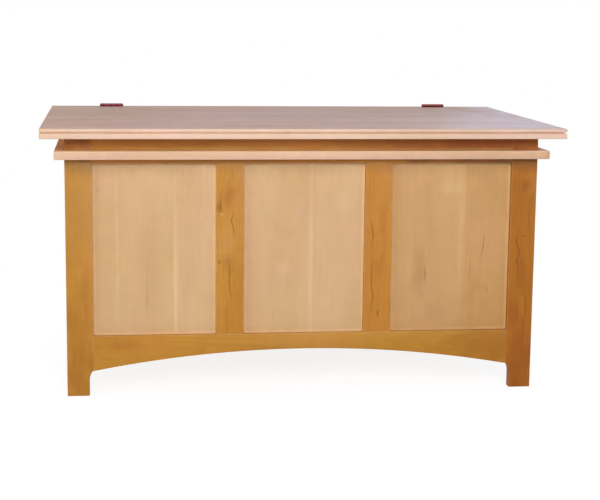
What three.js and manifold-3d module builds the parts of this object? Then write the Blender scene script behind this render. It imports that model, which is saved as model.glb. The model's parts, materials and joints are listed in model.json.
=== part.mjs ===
// Blanket chest: cherry frame-and-panel case, maple panels, maple ledge moulding and a maple lid
// that swings on two butt hinges and is held open by a folding stay.
// Millimetres, +Z up. The front faces -Y and the origin is on the floor under the middle of the top.

import * as THREE from 'three';
import { mergeVertices } from 'three/addons/utils/BufferGeometryUtils.js';
import Module from 'manifold-3d';

const wasm = await Module();
wasm.setup();

// Whole chest
const topWidth = 1016;
const topDepth = 640;
const chestHeight = 526;
const overhang = 45;

// Lid and its grooved edge, heights counted up from the lid's underside
const lidThickness = 19.5;
const lidGrooveLow = 9.7;
const lidGrooveHigh = 13.6;
const lidGrooveDepth = 5;
const lidGrooveSlope = 1.2;
const lidArris = 1;

// Frames: legs, rails and muntins
const frameThickness = 20;
const legWidth = 51.5;
const muntinWidth = 54.5;
const topRailHeight = 51;
const bottomRailTop = 119;
const archSpring = 49.5;
const frontArchRise = 38;
const endArchRise = 27;
const archSteps = 28;
const footStep = 8.5;
const footCurveHeight = 22;
const footSteps = 6;

// Grooves, tenons and panels
const grooveDepth = 10;
const tenonLength = 9;
const tenonShoulder = 7;
const panelThickness = 8;
const panelRecess = 9;
const panelEdgeGap = 1.5;
const fitClearance = 0.3;
const glueGap = 0.3;

// Ledge moulding
const neckHeight = 25.5;
const ledgeProjection = 19;
const ledgeThickness = 16.3;

// Hinge rail and the seam in front of it
const hingeRailThickness = 19.6;
const seamWidth = 1;

// Floor
const floorThickness = 12;
const floorGap = 1;
const cleatHeight = 18;
const cleatThickness = 18;
const frontCleatScrews = 4;
const endCleatScrews = 3;

// Battens under the lid: inset counts from the top's end to a batten's middle
const battenWidth = 50;
const battenThickness = 18;
const battenInset = 208;
const battenEndGap = 27.7;
const battenChamfer = 6;
const battenScrews = 4;

// Hinges: inset counts from the top's end to a hinge's middle
const hingeInset = 135;
const hingeLength = 48;
const knuckleCount = 5;
const knuckleGap = 0.3;
const knuckleRadius = 3.5;
const hingePinRadius = 1.6;
const pinBoreClearance = 0.3;
const pinTipRadius = 3;
const pinTipLength = 2.6;
const leafThickness = 1.6;
const leafHeight = 16;
const leafGap = 0.6;
const leafScrews = 3;

// Screws: head radius, shank radius, head depth and length
const woodScrew = { headRadius: 3.6, shankRadius: 1.9, headDepth: 2.2, length: 28, slot: 0.9 };
const leafScrew = { headRadius: 2.7, shankRadius: 1.4, headDepth: 1.3, length: 14, slot: 0.7 };
const screwClearance = 0.3;

// Lid stay, closed. The case pivot's margin counts from the floor of the leg's panel groove, and the other
// places count forward from the hinge axis and down from the lid's underside.
const stayCasePivotMargin = 3;
const stayCasePivotDrop = 40;
const stayLidPivotForward = 212;
const stayLidPivotDrop = 10.5;
const stayElbowForward = 248;
const stayElbowDrop = 72.3;
const stayArmWidth = 14;
const stayArmThickness = 2.4;
const stayPlateThickness = 2;
const stayGap = 0.4;
const stayStudRadius = 2.6;
const stayHeadRadius = 5.5;
const stayHeadThickness = 1.6;
const elbowPlay = 3;
const elbowHeadRadius = 8.2;
const caseBracketLead = 11;
const caseBracketGap = 7.5;
const caseBracketHeight = 42;
const caseBracketMargin = 9;
const lidBracketLength = 40;
const lidBracketDepth = 22;
const stayScrews = 2;

// Sides of round pieces and of screws, and how far a cutter runs past what it cuts
const roundSides = 16;
const screwSides = 10;
const overrun = 1;

// Places that several pieces share
const lidUnderside = chestHeight - lidThickness;
const topFront = -topDepth / 2;
const topBack = topDepth / 2;
const caseFront = topFront + overhang;
const caseBack = topBack - hingeRailThickness;
const caseWidth = topWidth - 2 * overhang;
const caseDepth = caseBack - caseFront;
const endFrameWidth = caseDepth - 2 * (frameThickness + glueGap);
const endLegWidth = legWidth - frameThickness - glueGap;
const topRailBottom = lidUnderside - topRailHeight;
const lidBack = caseBack - seamWidth;
const hingeAxisY = caseBack - seamWidth / 2;
const hingeAxisZ = chestHeight + knuckleRadius;

// Materials
const cherry = new THREE.MeshStandardMaterial({ color: 0xb9813c, roughness: 0.45, metalness: 0 });
const maple = new THREE.MeshStandardMaterial({ color: 0xd6b48c, roughness: 0.4, metalness: 0 });
const lidMaple = new THREE.MeshStandardMaterial({ color: 0xe2c6ad, roughness: 0.3, metalness: 0 });
const copper = new THREE.MeshStandardMaterial({ color: 0x7a3238, roughness: 0.35, metalness: 0.8 });
const brass = new THREE.MeshStandardMaterial({ color: 0xb08d4a, roughness: 0.35, metalness: 0.9 });

// A closed three.js geometry becomes a solid that can be joined and cut.
function toSolid(geometry) {
  const plain = geometry.clone();
  plain.deleteAttribute('normal');
  plain.deleteAttribute('uv');
  const merged = mergeVertices(plain);
  return new wasm.Manifold(new wasm.Mesh({
    numProp: 3,
    vertProperties: new Float32Array(merged.attributes.position.array),
    triVerts: new Uint32Array(merged.index.array),
  }));
}

function toGeometry(solid) {
  const mesh = solid.getMesh();
  const geometry = new THREE.BufferGeometry();
  geometry.setAttribute('position', new THREE.BufferAttribute(mesh.vertProperties, 3));
  geometry.setIndex(new THREE.BufferAttribute(mesh.triVerts, 1));
  geometry.computeVertexNormals();
  return geometry;
}

function makeMesh(name, material, geometry) {
  const mesh = new THREE.Mesh(geometry, material);
  mesh.name = name;
  return mesh;
}

// A box from its lowest to its highest corner
function boxSolid(x0, x1, y0, y1, z0, z1) {
  const geometry = new THREE.BoxGeometry(x1 - x0, y1 - y0, z1 - z0);
  geometry.translate((x0 + x1) / 2, (y0 + y1) / 2, (z0 + z1) / 2);
  return toSolid(geometry);
}

// An outline of (x, z) points carried from y0 to y1
function frontOutlineSolid(points, y0, y1) {
  const shape = new THREE.Shape(points);
  const geometry = new THREE.ExtrudeGeometry(shape, { depth: y1 - y0, bevelEnabled: false });
  geometry.rotateX(Math.PI / 2);
  geometry.translate(0, y1, 0);
  return toSolid(geometry);
}

// An outline of (x, y) points carried from z0 to z1
function planOutlineSolid(points, z0, z1) {
  const shape = new THREE.Shape(points);
  const geometry = new THREE.ExtrudeGeometry(shape, { depth: z1 - z0, bevelEnabled: false });
  geometry.translate(0, 0, z0);
  return toSolid(geometry);
}

// A round bar along X, Y or Z through a centre line place
function roundSolid(axis, radius, from, to, a, b) {
  const geometry = new THREE.CylinderGeometry(radius, radius, to - from, roundSides);
  const middle = (from + to) / 2;
  if (axis === 'x') {
    geometry.rotateZ(Math.PI / 2);
    geometry.translate(middle, a, b);
  } else if (axis === 'y') {
    geometry.translate(a, middle, b);
  } else {
    geometry.rotateX(Math.PI / 2);
    geometry.translate(a, b, middle);
  }
  return toSolid(geometry);
}

function evenPlaces(count, span) {
  return Array.from({ length: count }, (_, i) => span * ((i + 0.5) / count - 0.5));
}

// A countersunk screw with a slotted head: the head's face is at the origin and it points along +Y.
function screwGeometry(screw) {
  const profile = [
    new THREE.Vector2(0, 0),
    new THREE.Vector2(screw.headRadius, 0),
    new THREE.Vector2(screw.shankRadius, screw.headDepth),
    new THREE.Vector2(screw.shankRadius, screw.length - 2 * screw.shankRadius),
    new THREE.Vector2(0, screw.length),
  ];
  const body = toSolid(new THREE.LatheGeometry(profile, screwSides));
  const slot = boxSolid(
    -screw.headRadius - overrun, screw.headRadius + overrun,
    -overrun, screw.headDepth / 2,
    -screw.slot / 2, screw.slot / 2,
  );
  return toGeometry(body.subtract(slot));
}

// The hole that the same screw leaves, a little wider and longer
function screwHole(screw, x, y, z, direction) {
  const c = screwClearance;
  const profile = [
    new THREE.Vector2(0, -overrun),
    new THREE.Vector2(screw.headRadius + c, -overrun),
    new THREE.Vector2(screw.headRadius + c, 0),
    new THREE.Vector2(screw.shankRadius + c, screw.headDepth),
    new THREE.Vector2(screw.shankRadius + c, screw.length + c),
    new THREE.Vector2(0, screw.length + c),
  ];
  const geometry = new THREE.LatheGeometry(profile, screwSides);
  return toSolid(placeScrew(geometry, x, y, z, direction));
}

// Turns a screw or its hole from +Y to the way it is driven, and moves it to its head's place
function placeScrew(geometry, x, y, z, direction) {
  if (direction === '-y') geometry.rotateZ(Math.PI);
  if (direction === '+z') geometry.rotateX(Math.PI / 2);
  if (direction === '+x') geometry.rotateZ(-Math.PI / 2);
  geometry.translate(x, y, z);
  return geometry;
}

function addScrews(group, name, material, screw, places, direction) {
  places.forEach(([x, y, z], i) => {
    group.add(makeMesh(`${name}_${i + 1}`, material, placeScrew(screwGeometry(screw), x, y, z, direction)));
  });
}

// Frame and panel, as seen from outside: x runs along it, y runs inwards from its outer face.
const grooveFront = panelRecess - fitClearance;
const grooveBack = panelRecess + panelThickness + fitClearance;
const tenonFront = panelRecess;
const tenonBack = panelRecess + panelThickness;

// Half of the foot's inside outline, from the floor up to where the arch springs
function footOutline(innerX, towardsLeg) {
  const points = [
    new THREE.Vector2(innerX - towardsLeg * overrun, -overrun),
    new THREE.Vector2(innerX + towardsLeg * footStep, -overrun),
  ];
  for (let i = 0; i <= footSteps; i += 1) {
    const angle = (Math.PI / 2) * (i / footSteps);
    points.push(new THREE.Vector2(
      innerX + towardsLeg * footStep * Math.cos(angle),
      archSpring - footCurveHeight * (1 - Math.sin(angle)),
    ));
  }
  points.push(new THREE.Vector2(innerX - towardsLeg * overrun, archSpring));
  return points;
}

// side is -1 for the left leg and 1 for the right one
function legSolid(side, frameWidth, width, arched) {
  const outerX = side * frameWidth / 2;
  const innerX = outerX - side * width;
  const grooveX = innerX + side * grooveDepth;
  const low = Math.min(outerX, innerX);
  const high = Math.max(outerX, innerX);
  let leg = boxSolid(low, high, 0, frameThickness, 0, lidUnderside);
  leg = leg.subtract(boxSolid(
    Math.min(grooveX, innerX - side * overrun), Math.max(grooveX, innerX - side * overrun),
    grooveFront, grooveBack,
    archSpring + tenonShoulder - fitClearance, lidUnderside + overrun,
  ));
  if (arched) {
    leg = leg.subtract(frontOutlineSolid(footOutline(innerX, side), -overrun, frameThickness + overrun));
  }
  return leg;
}

function topRailSolid(innerHalf) {
  const body = boxSolid(-innerHalf, innerHalf, 0, frameThickness, topRailBottom, lidUnderside);
  const tenon = boxSolid(
    -innerHalf - tenonLength, innerHalf + tenonLength,
    tenonFront, tenonBack,
    topRailBottom + grooveDepth, lidUnderside,
  );
  const groove = boxSolid(
    -innerHalf - overrun, innerHalf + overrun,
    grooveFront, grooveBack,
    topRailBottom - overrun, topRailBottom + grooveDepth,
  );
  return body.add(tenon).subtract(groove);
}

// An arch is one circular arc between the springing points; rise 0 gives a straight rail.
function bottomRailSolid(innerHalf, rise, screwPlaces) {
  const points = [new THREE.Vector2(-innerHalf, bottomRailTop), new THREE.Vector2(-innerHalf, archSpring)];
  if (rise > 0) {
    const radius = (innerHalf * innerHalf + rise * rise) / (2 * rise);
    for (let i = 1; i < archSteps; i += 1) {
      const x = innerHalf * (2 * i / archSteps - 1);
      points.push(new THREE.Vector2(x, archSpring + rise - radius + Math.sqrt(radius * radius - x * x)));
    }
  }
  points.push(new THREE.Vector2(innerHalf, archSpring), new THREE.Vector2(innerHalf, bottomRailTop));
  const tenon = boxSolid(
    -innerHalf - tenonLength, innerHalf + tenonLength,
    tenonFront, tenonBack,
    archSpring + tenonShoulder, bottomRailTop - grooveDepth,
  );
  const arch = frontOutlineSolid(points, 0, frameThickness);
  const groove = boxSolid(
    -innerHalf - overrun, innerHalf + overrun,
    grooveFront, grooveBack,
    bottomRailTop - grooveDepth, bottomRailTop + overrun,
  );
  let rail = arch.add(tenonInsideLegs(tenon, innerHalf)).subtract(groove);
  for (const x of screwPlaces) rail = rail.subtract(screwHole(woodScrew, x, cleatInner, cleatScrewZ, '-y'));
  return rail;
}

// The two ends of a tenon bar, without the stretch that would cross the arch
function tenonInsideLegs(bar, innerHalf) {
  return bar.subtract(boxSolid(
    -innerHalf + overrun, innerHalf - overrun,
    -overrun, frameThickness + overrun,
    -overrun, chestHeight,
  ));
}

function muntinSolid(centre) {
  const half = muntinWidth / 2;
  const body = boxSolid(centre - half, centre + half, 0, frameThickness, bottomRailTop, topRailBottom);
  const tenon = boxSolid(
    centre - half + grooveDepth, centre + half - grooveDepth,
    tenonFront, tenonBack,
    bottomRailTop - tenonLength, topRailBottom + tenonLength,
  );
  let muntin = body.add(tenon);
  for (const side of [-1, 1]) {
    const edge = centre + side * half;
    const floor = edge - side * grooveDepth;
    const past = edge + side * overrun;
    muntin = muntin.subtract(boxSolid(
      Math.min(floor, past), Math.max(floor, past),
      grooveFront, grooveBack,
      bottomRailTop - overrun, topRailBottom + overrun,
    ));
  }
  return muntin;
}

function panelSolid(left, right) {
  const reach = grooveDepth - panelEdgeGap;
  return boxSolid(
    left - reach, right + reach,
    panelRecess, panelRecess + panelThickness,
    bottomRailTop - reach, topRailBottom + reach,
  );
}

// Cleats carry the floor. They lie against the inner face of the bottom rails.
const floorBottom = bottomRailTop - floorThickness;
const cleatOuter = frameThickness + glueGap;
const cleatInner = cleatOuter + cleatThickness;
const cleatScrewZ = floorBottom - cleatHeight / 2;

function cleatSolid(length, screwPlaces) {
  const half = length / 2;
  let cleat = boxSolid(-half, half, cleatOuter, cleatInner, floorBottom - cleatHeight, floorBottom);
  for (const x of screwPlaces) {
    cleat = cleat.subtract(screwHole(woodScrew, x, cleatInner, cleatScrewZ, '-y'));
  }
  return cleat;
}

// One whole frame with its cleat. names holds the node names from left to right, seen from outside.
// legHoles are solids to be drilled out of its second leg.
function buildFrame({ names, width, legs, muntins, rise, cleatLength, screws, legHoles }) {
  const frame = new THREE.Group();
  const innerHalf = width / 2 - legs;
  const screwPlaces = evenPlaces(screws, cleatLength);
  const arched = rise > 0;
  frame.add(makeMesh(names.legs[0], cherry, toGeometry(legSolid(-1, width, legs, arched))));
  let secondLeg = legSolid(1, width, legs, arched);
  for (const hole of legHoles) secondLeg = secondLeg.subtract(hole);
  frame.add(makeMesh(names.legs[1], cherry, toGeometry(secondLeg)));
  frame.add(makeMesh(names.topRail, cherry, toGeometry(topRailSolid(innerHalf))));
  frame.add(makeMesh(names.bottomRail, cherry, toGeometry(bottomRailSolid(innerHalf, rise, screwPlaces))));
  const panelWidth = (2 * innerHalf - muntins * muntinWidth) / (muntins + 1);
  for (let i = 0; i <= muntins; i += 1) {
    const left = -innerHalf + i * (panelWidth + muntinWidth);
    frame.add(makeMesh(names.panels[i], maple, toGeometry(panelSolid(left, left + panelWidth))));
    if (i < muntins) {
      const centre = left + panelWidth + muntinWidth / 2;
      frame.add(makeMesh(names.muntins[i], cherry, toGeometry(muntinSolid(centre))));
    }
  }
  frame.add(makeMesh(names.cleat, cherry, toGeometry(cleatSolid(cleatLength, screwPlaces))));
  return frame;
}

// Ledge: a moulding mitred round the front and both ends, one glue line off the case
const ledgeTop = lidUnderside - neckHeight;
const ledgeInnerX = caseWidth / 2 + glueGap;
const ledgeOuterX = ledgeInnerX + ledgeProjection;
const ledgeInnerY = caseFront - glueGap;
const ledgeOuterY = ledgeInnerY - ledgeProjection;

function ledgeFront() {
  return planOutlineSolid([
    new THREE.Vector2(-ledgeOuterX, ledgeOuterY),
    new THREE.Vector2(ledgeOuterX, ledgeOuterY),
    new THREE.Vector2(ledgeInnerX, ledgeInnerY),
    new THREE.Vector2(-ledgeInnerX, ledgeInnerY),
  ], ledgeTop - ledgeThickness, ledgeTop);
}

// side is -1 for the left end and 1 for the right one
function ledgeEnd(side) {
  const mitreShift = glueGap * Math.SQRT2;
  const points = [
    new THREE.Vector2(side * ledgeInnerX, ledgeInnerY + mitreShift),
    new THREE.Vector2(side * ledgeOuterX, ledgeOuterY + mitreShift),
    new THREE.Vector2(side * ledgeOuterX, caseBack),
    new THREE.Vector2(side * ledgeInnerX, caseBack),
  ];
  return planOutlineSolid(points, ledgeTop - ledgeThickness, ledgeTop);
}

// Hinge parts. Each leaf stands upright in the seam, let into the lid's rear edge or the hinge rail,
// with its knuckles on top of the seam. side is -1 for the lid's leaf and 1 for the rail's leaf.
const knuckleLength = (hingeLength - (knuckleCount - 1) * knuckleGap) / knuckleCount;
const leafTop = hingeAxisZ - (hingePinRadius + pinBoreClearance + knuckleRadius) / 2;
const leafBottom = chestHeight - leafHeight;
const mortiseDepth = (leafGap - seamWidth) / 2 + leafThickness + fitClearance;
const leafScrewZ = (leafBottom + chestHeight) / 2;
const hingePlaces = [hingeInset - topWidth / 2, topWidth / 2 - hingeInset];
const leafScrewXs = evenPlaces(leafScrews, hingeLength);

function leafSolid(centreX, side) {
  const start = centreX - hingeLength / 2;
  const nearFace = hingeAxisY + side * leafGap / 2;
  const farFace = nearFace + side * leafThickness;
  const low = Math.min(nearFace, farFace);
  const high = Math.max(nearFace, farFace);
  let leaf = boxSolid(start, start + hingeLength, low, high, leafBottom, leafTop);
  for (let i = 0; i < knuckleCount; i += 1) {
    const from = start + i * (knuckleLength + knuckleGap);
    const to = from + knuckleLength;
    const own = (i % 2 === 0) === (side > 0);
    if (own) {
      leaf = leaf.add(roundSolid('x', knuckleRadius, from, to, hingeAxisY, hingeAxisZ));
    } else {
      leaf = leaf.subtract(roundSolid(
        'x', knuckleRadius + fitClearance,
        from - knuckleGap, to + knuckleGap,
        hingeAxisY, hingeAxisZ,
      ));
    }
  }
  leaf = leaf.subtract(roundSolid(
    'x', hingePinRadius + pinBoreClearance,
    start - overrun, start + hingeLength + overrun,
    hingeAxisY, hingeAxisZ,
  ));
  for (const x of leafScrewXs) {
    leaf = leaf.subtract(screwHole(leafScrew, centreX + x, nearFace, leafScrewZ, side > 0 ? '+y' : '-y'));
  }
  return leaf;
}

// The pocket for one leaf and the holes of its screws, to be cut from the lid or the rail
function leafPocket(centreX, side) {
  const half = hingeLength / 2 + fitClearance;
  const face = hingeAxisY + side * seamWidth / 2;
  const floor = face + side * mortiseDepth;
  const past = face - side * overrun;
  let pocket = boxSolid(
    centreX - half, centreX + half,
    Math.min(floor, past), Math.max(floor, past),
    leafBottom - fitClearance, chestHeight + overrun,
  );
  const headFace = hingeAxisY + side * leafGap / 2;
  for (const x of leafScrewXs) {
    pocket = pocket.add(screwHole(leafScrew, centreX + x, headFace, leafScrewZ, side > 0 ? '+y' : '-y'));
  }
  return pocket;
}

// The pin runs through all knuckles and ends in rounded tips.
function hingePin(centreX) {
  const half = hingeLength / 2;
  const profile = [new THREE.Vector2(0, -half - pinTipLength)];
  const tipSteps = 4;
  for (let i = 1; i <= tipSteps; i += 1) {
    const angle = (Math.PI / 2) * (i / tipSteps);
    profile.push(new THREE.Vector2(
      pinTipRadius * Math.sin(angle),
      -half - knuckleGap - (pinTipLength - knuckleGap) * Math.cos(angle),
    ));
  }
  profile.push(new THREE.Vector2(hingePinRadius, -half - knuckleGap));
  const mirrored = profile.map((p) => new THREE.Vector2(p.x, -p.y)).reverse();
  const geometry = new THREE.LatheGeometry([...profile, ...mirrored], roundSides);
  geometry.rotateZ(Math.PI / 2);
  geometry.translate(centreX, hingeAxisY, hingeAxisZ);
  return toSolid(geometry);
}

// Lid: rings of a rectangle drawn in from the front and both ends, so the groove mitres at the corners
function lidSolid() {
  const rings = [
    [0, lidArris],
    [lidArris, 0],
    [lidGrooveLow, 0],
    [lidGrooveLow + lidGrooveSlope, lidGrooveDepth],
    [lidGrooveHigh - lidGrooveSlope, lidGrooveDepth],
    [lidGrooveHigh, 0],
    [lidThickness - lidArris, 0],
    [lidThickness, lidArris],
  ];
  const positions = [];
  for (const [height, inset] of rings) {
    const x = topWidth / 2 - inset;
    const z = lidUnderside + height;
    positions.push(-x, topFront + inset, z, x, topFront + inset, z, x, lidBack, z, -x, lidBack, z);
  }
  const index = [0, 2, 1, 0, 3, 2];
  for (let ring = 0; ring < rings.length - 1; ring += 1) {
    for (let corner = 0; corner < 4; corner += 1) {
      const a = ring * 4 + corner;
      const b = ring * 4 + (corner + 1) % 4;
      index.push(a, b, b + 4, a, b + 4, a + 4);
    }
  }
  const last = (rings.length - 1) * 4;
  index.push(last, last + 1, last + 2, last, last + 2, last + 3);
  const geometry = new THREE.BufferGeometry();
  geometry.setAttribute('position', new THREE.Float32BufferAttribute(positions, 3));
  geometry.setIndex(index);
  return toSolid(geometry);
}

// Battens run front to back under the lid, inside the case. Their ends are chamfered below.
const battenMiddleY = (caseFront + caseBack) / 2;
const battenLength = caseDepth - 2 * (frameThickness + battenEndGap);
const battenUnderside = lidUnderside - battenThickness;
const battenPlaces = [battenInset - topWidth / 2, topWidth / 2 - battenInset];
const battenScrewYs = evenPlaces(battenScrews, battenLength);

function battenSolid(centreX) {
  const front = battenMiddleY - battenLength / 2;
  const back = battenMiddleY + battenLength / 2;
  const points = [
    new THREE.Vector2(front, lidUnderside),
    new THREE.Vector2(front, battenUnderside + battenChamfer),
    new THREE.Vector2(front + battenChamfer, battenUnderside),
    new THREE.Vector2(back - battenChamfer, battenUnderside),
    new THREE.Vector2(back, battenUnderside + battenChamfer),
    new THREE.Vector2(back, lidUnderside),
  ];
  const shape = new THREE.Shape(points);
  const side = new THREE.ExtrudeGeometry(shape, { depth: battenWidth, bevelEnabled: false });
  side.rotateX(Math.PI / 2);
  side.rotateZ(Math.PI / 2);
  side.translate(centreX - battenWidth / 2, 0, 0);
  let batten = toSolid(side);
  for (const y of battenScrewYs) {
    batten = batten.subtract(screwHole(woodScrew, centreX, battenMiddleY + y, battenUnderside, '+z'));
  }
  return batten;
}

const battenScrewPlaces = battenPlaces.flatMap(
  (x) => battenScrewYs.map((y) => [x, battenMiddleY + y, battenUnderside]),
);

// Lid stay at the right end. Everything lies in upright planes against the inside of the right frame:
// the case bracket's plate, the lower arm, then the upper arm, with a gap between each two.
const stayWallX = caseWidth / 2 - frameThickness - glueGap;
const casePlateInnerX = stayWallX - stayPlateThickness;
const lowerArmOuterX = casePlateInnerX - stayGap;
const lowerArmInnerX = lowerArmOuterX - stayArmThickness;
const upperArmOuterX = lowerArmInnerX - stayGap;
const upperArmInnerX = upperArmOuterX - stayArmThickness;
const casePivotY = caseBack - frameThickness - glueGap - endLegWidth + grooveDepth + stayCasePivotMargin;
const casePivotZ = lidUnderside - stayCasePivotDrop;
const lidPivotY = hingeAxisY - stayLidPivotForward;
const lidPivotZ = lidUnderside - stayLidPivotDrop;
const elbowY = hingeAxisY - stayElbowForward;
const elbowZ = lidUnderside - stayElbowDrop;
const lowerArmLength = Math.hypot(elbowY - casePivotY, elbowZ - casePivotZ);
const upperArmLength = Math.hypot(elbowY - lidPivotY, elbowZ - lidPivotZ);
const eyeRadius = stayArmWidth / 2;
const elbowEyeRadius = stayStudRadius + elbowPlay + stayArmThickness;

// A flat bar between two round eyes, from the origin along +Y, with a hole in each eye it is given
function armSolid(length, innerX, outerX, farRadius, nearHole, farHole) {
  let arm = roundSolid('x', eyeRadius, innerX, outerX, 0, 0);
  arm = arm.add(roundSolid('x', farRadius, innerX, outerX, length, 0));
  arm = arm.add(boxSolid(innerX, outerX, 0, length, -eyeRadius, eyeRadius));
  if (nearHole) arm = arm.subtract(roundSolid('x', nearHole, innerX - overrun, outerX + overrun, 0, 0));
  if (farHole) arm = arm.subtract(roundSolid('x', farHole, innerX - overrun, outerX + overrun, length, 0));
  return arm;
}

// A stud from a plate's face with its head beyond the arm that turns on it
function studSolid(plateX, armInnerX, headRadius, y, z) {
  const headOuterX = armInnerX - stayGap;
  const stud = roundSolid('x', stayStudRadius, headOuterX - stayHeadThickness, plateX, y, z);
  const head = roundSolid('x', headRadius, headOuterX - stayHeadThickness, headOuterX, y, z);
  return stud.add(head);
}

const studHole = stayStudRadius + fitClearance;
const caseBracketTop = casePivotZ + caseBracketHeight - caseBracketMargin;
const caseBracketPlateBottom = casePivotZ + eyeRadius;
const caseBracketPlateHeight = caseBracketTop - caseBracketPlateBottom;
const caseBracketScrewPlaces = evenPlaces(stayScrews, caseBracketPlateHeight).map((rise) => [
  casePlateInnerX,
  casePivotY,
  caseBracketPlateBottom + caseBracketPlateHeight / 2 + rise,
]);

function caseBracketSolid() {
  let bracket = boxSolid(
    casePlateInnerX, stayWallX,
    casePivotY - caseBracketLead, caseBack - frameThickness - caseBracketGap,
    casePivotZ - caseBracketMargin, caseBracketTop,
  );
  const studRoot = casePlateInnerX + overrun;
  bracket = bracket.add(studSolid(studRoot, lowerArmInnerX, stayHeadRadius, casePivotY, casePivotZ));
  for (const [x, y, z] of caseBracketScrewPlaces) {
    bracket = bracket.subtract(screwHole(leafScrew, x, y, z, '+x'));
  }
  return bracket;
}

// The lid bracket is an angle: a foot under the lid and an ear outside the upper arm.
const earInnerX = upperArmOuterX + stayGap;
const earOuterX = earInnerX + stayPlateThickness;
const footUnderside = lidUnderside - stayPlateThickness;
const lidBracketScrewPlaces = evenPlaces(stayScrews, lidBracketLength).map((along) => [
  earInnerX - (lidBracketDepth - stayPlateThickness) / 2,
  lidPivotY + along,
  footUnderside,
]);

function lidBracketSolid() {
  const half = lidBracketLength / 2;
  let bracket = boxSolid(
    earOuterX - lidBracketDepth, earOuterX,
    lidPivotY - half, lidPivotY + half,
    footUnderside, lidUnderside,
  );
  bracket = bracket.add(boxSolid(
    earInnerX, earOuterX,
    lidPivotY - eyeRadius, lidPivotY + eyeRadius,
    lidPivotZ, lidUnderside,
  ));
  bracket = bracket.add(roundSolid('x', eyeRadius, earInnerX, earOuterX, lidPivotY, lidPivotZ));
  const studRoot = earInnerX + overrun;
  bracket = bracket.add(studSolid(studRoot, upperArmInnerX, stayHeadRadius, lidPivotY, lidPivotZ));
  for (const [x, y, z] of lidBracketScrewPlaces) {
    bracket = bracket.subtract(screwHole(leafScrew, x, y, z, '+z'));
  }
  return bracket;
}

// The arms are made along +Y at their pivots and turned to where the closed lid leaves them.
function lowerArm() {
  let arm = armSolid(lowerArmLength, lowerArmInnerX, lowerArmOuterX, eyeRadius, studHole, 0);
  arm = arm.add(studSolid(lowerArmInnerX + overrun, upperArmInnerX, elbowHeadRadius, lowerArmLength, 0));
  const mesh = makeMesh('stay_lower_arm', brass, toGeometry(arm));
  mesh.position.set(0, casePivotY, casePivotZ);
  mesh.rotation.x = Math.atan2(elbowZ - casePivotZ, elbowY - casePivotY);
  return mesh;
}

function upperArm() {
  const elbowHole = stayStudRadius + elbowPlay;
  const arm = armSolid(upperArmLength, upperArmInnerX, upperArmOuterX, elbowEyeRadius, studHole, elbowHole);
  const mesh = makeMesh('stay_upper_arm', brass, toGeometry(arm));
  mesh.position.set(0, lidPivotY, lidPivotZ);
  mesh.rotation.x = Math.atan2(elbowZ - lidPivotZ, elbowY - lidPivotY);
  return mesh;
}

// The four frames, each built as seen from outside and turned into place
const cleatInset = cleatInner - frameThickness + glueGap;
const frontCleatLength = caseWidth - 2 * (frameThickness + glueGap);
const endCleatLength = caseDepth - 2 * (frameThickness + cleatInset);
const middleY = (caseFront + caseBack) / 2;

// The case bracket's screws, as the right frame sees them
const stayLegHoles = caseBracketScrewPlaces.map(
  ([x, y, z]) => screwHole(leafScrew, y - middleY, caseWidth / 2 - x, z, '-y'),
);

const frameSpecs = [
  {
    names: {
      legs: ['front_left_leg', 'front_right_leg'],
      topRail: 'front_top_rail',
      bottomRail: 'front_bottom_rail',
      muntins: ['front_left_muntin', 'front_right_muntin'],
      panels: ['front_left_panel', 'front_center_panel', 'front_right_panel'],
      cleat: 'front_cleat',
    },
    width: caseWidth,
    legs: legWidth,
    muntins: 2,
    rise: frontArchRise,
    cleatLength: frontCleatLength,
    screws: frontCleatScrews,
    position: [0, caseFront, 0],
    turn: 0,
    legHoles: [],
  },
  {
    names: {
      legs: ['back_right_leg', 'back_left_leg'],
      topRail: 'back_top_rail',
      bottomRail: 'back_bottom_rail',
      muntins: ['back_right_muntin', 'back_left_muntin'],
      panels: ['back_right_panel', 'back_center_panel', 'back_left_panel'],
      cleat: 'back_cleat',
    },
    width: caseWidth,
    legs: legWidth,
    muntins: 2,
    rise: 0,
    cleatLength: frontCleatLength,
    screws: frontCleatScrews,
    position: [0, caseBack, 0],
    turn: Math.PI,
    legHoles: [],
  },
  {
    names: {
      legs: ['left_rear_leg', 'left_front_leg'],
      topRail: 'left_top_rail',
      bottomRail: 'left_bottom_rail',
      muntins: ['left_muntin'],
      panels: ['left_rear_panel', 'left_front_panel'],
      cleat: 'left_cleat',
    },
    width: endFrameWidth,
    legs: endLegWidth,
    muntins: 1,
    rise: endArchRise,
    cleatLength: endCleatLength,
    screws: endCleatScrews,
    position: [-caseWidth / 2, middleY, 0],
    turn: -Math.PI / 2,
    legHoles: [],
  },
  {
    names: {
      legs: ['right_front_leg', 'right_rear_leg'],
      topRail: 'right_top_rail',
      bottomRail: 'right_bottom_rail',
      muntins: ['right_muntin'],
      panels: ['right_front_panel', 'right_rear_panel'],
      cleat: 'right_cleat',
    },
    width: endFrameWidth,
    legs: endLegWidth,
    muntins: 1,
    rise: endArchRise,
    cleatLength: endCleatLength,
    screws: endCleatScrews,
    position: [caseWidth / 2, middleY, 0],
    turn: Math.PI / 2,
    legHoles: stayLegHoles,
  },
];

const chest = new THREE.Group();

for (const spec of frameSpecs) {
  const frame = buildFrame(spec);
  frame.position.set(...spec.position);
  frame.rotation.z = spec.turn;
  chest.add(frame);
}

// Floor, resting on the four cleats
const floorHalfX = caseWidth / 2 - frameThickness - floorGap;
chest.add(makeMesh('floor_board', maple, toGeometry(boxSolid(
  -floorHalfX, floorHalfX,
  caseFront + frameThickness + floorGap, caseBack - frameThickness - floorGap,
  floorBottom, bottomRailTop,
))));

// Ledge and hinge rail
chest.add(makeMesh('ledge_front', maple, toGeometry(ledgeFront())));
chest.add(makeMesh('ledge_left', maple, toGeometry(ledgeEnd(-1))));
chest.add(makeMesh('ledge_right', maple, toGeometry(ledgeEnd(1))));

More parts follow.
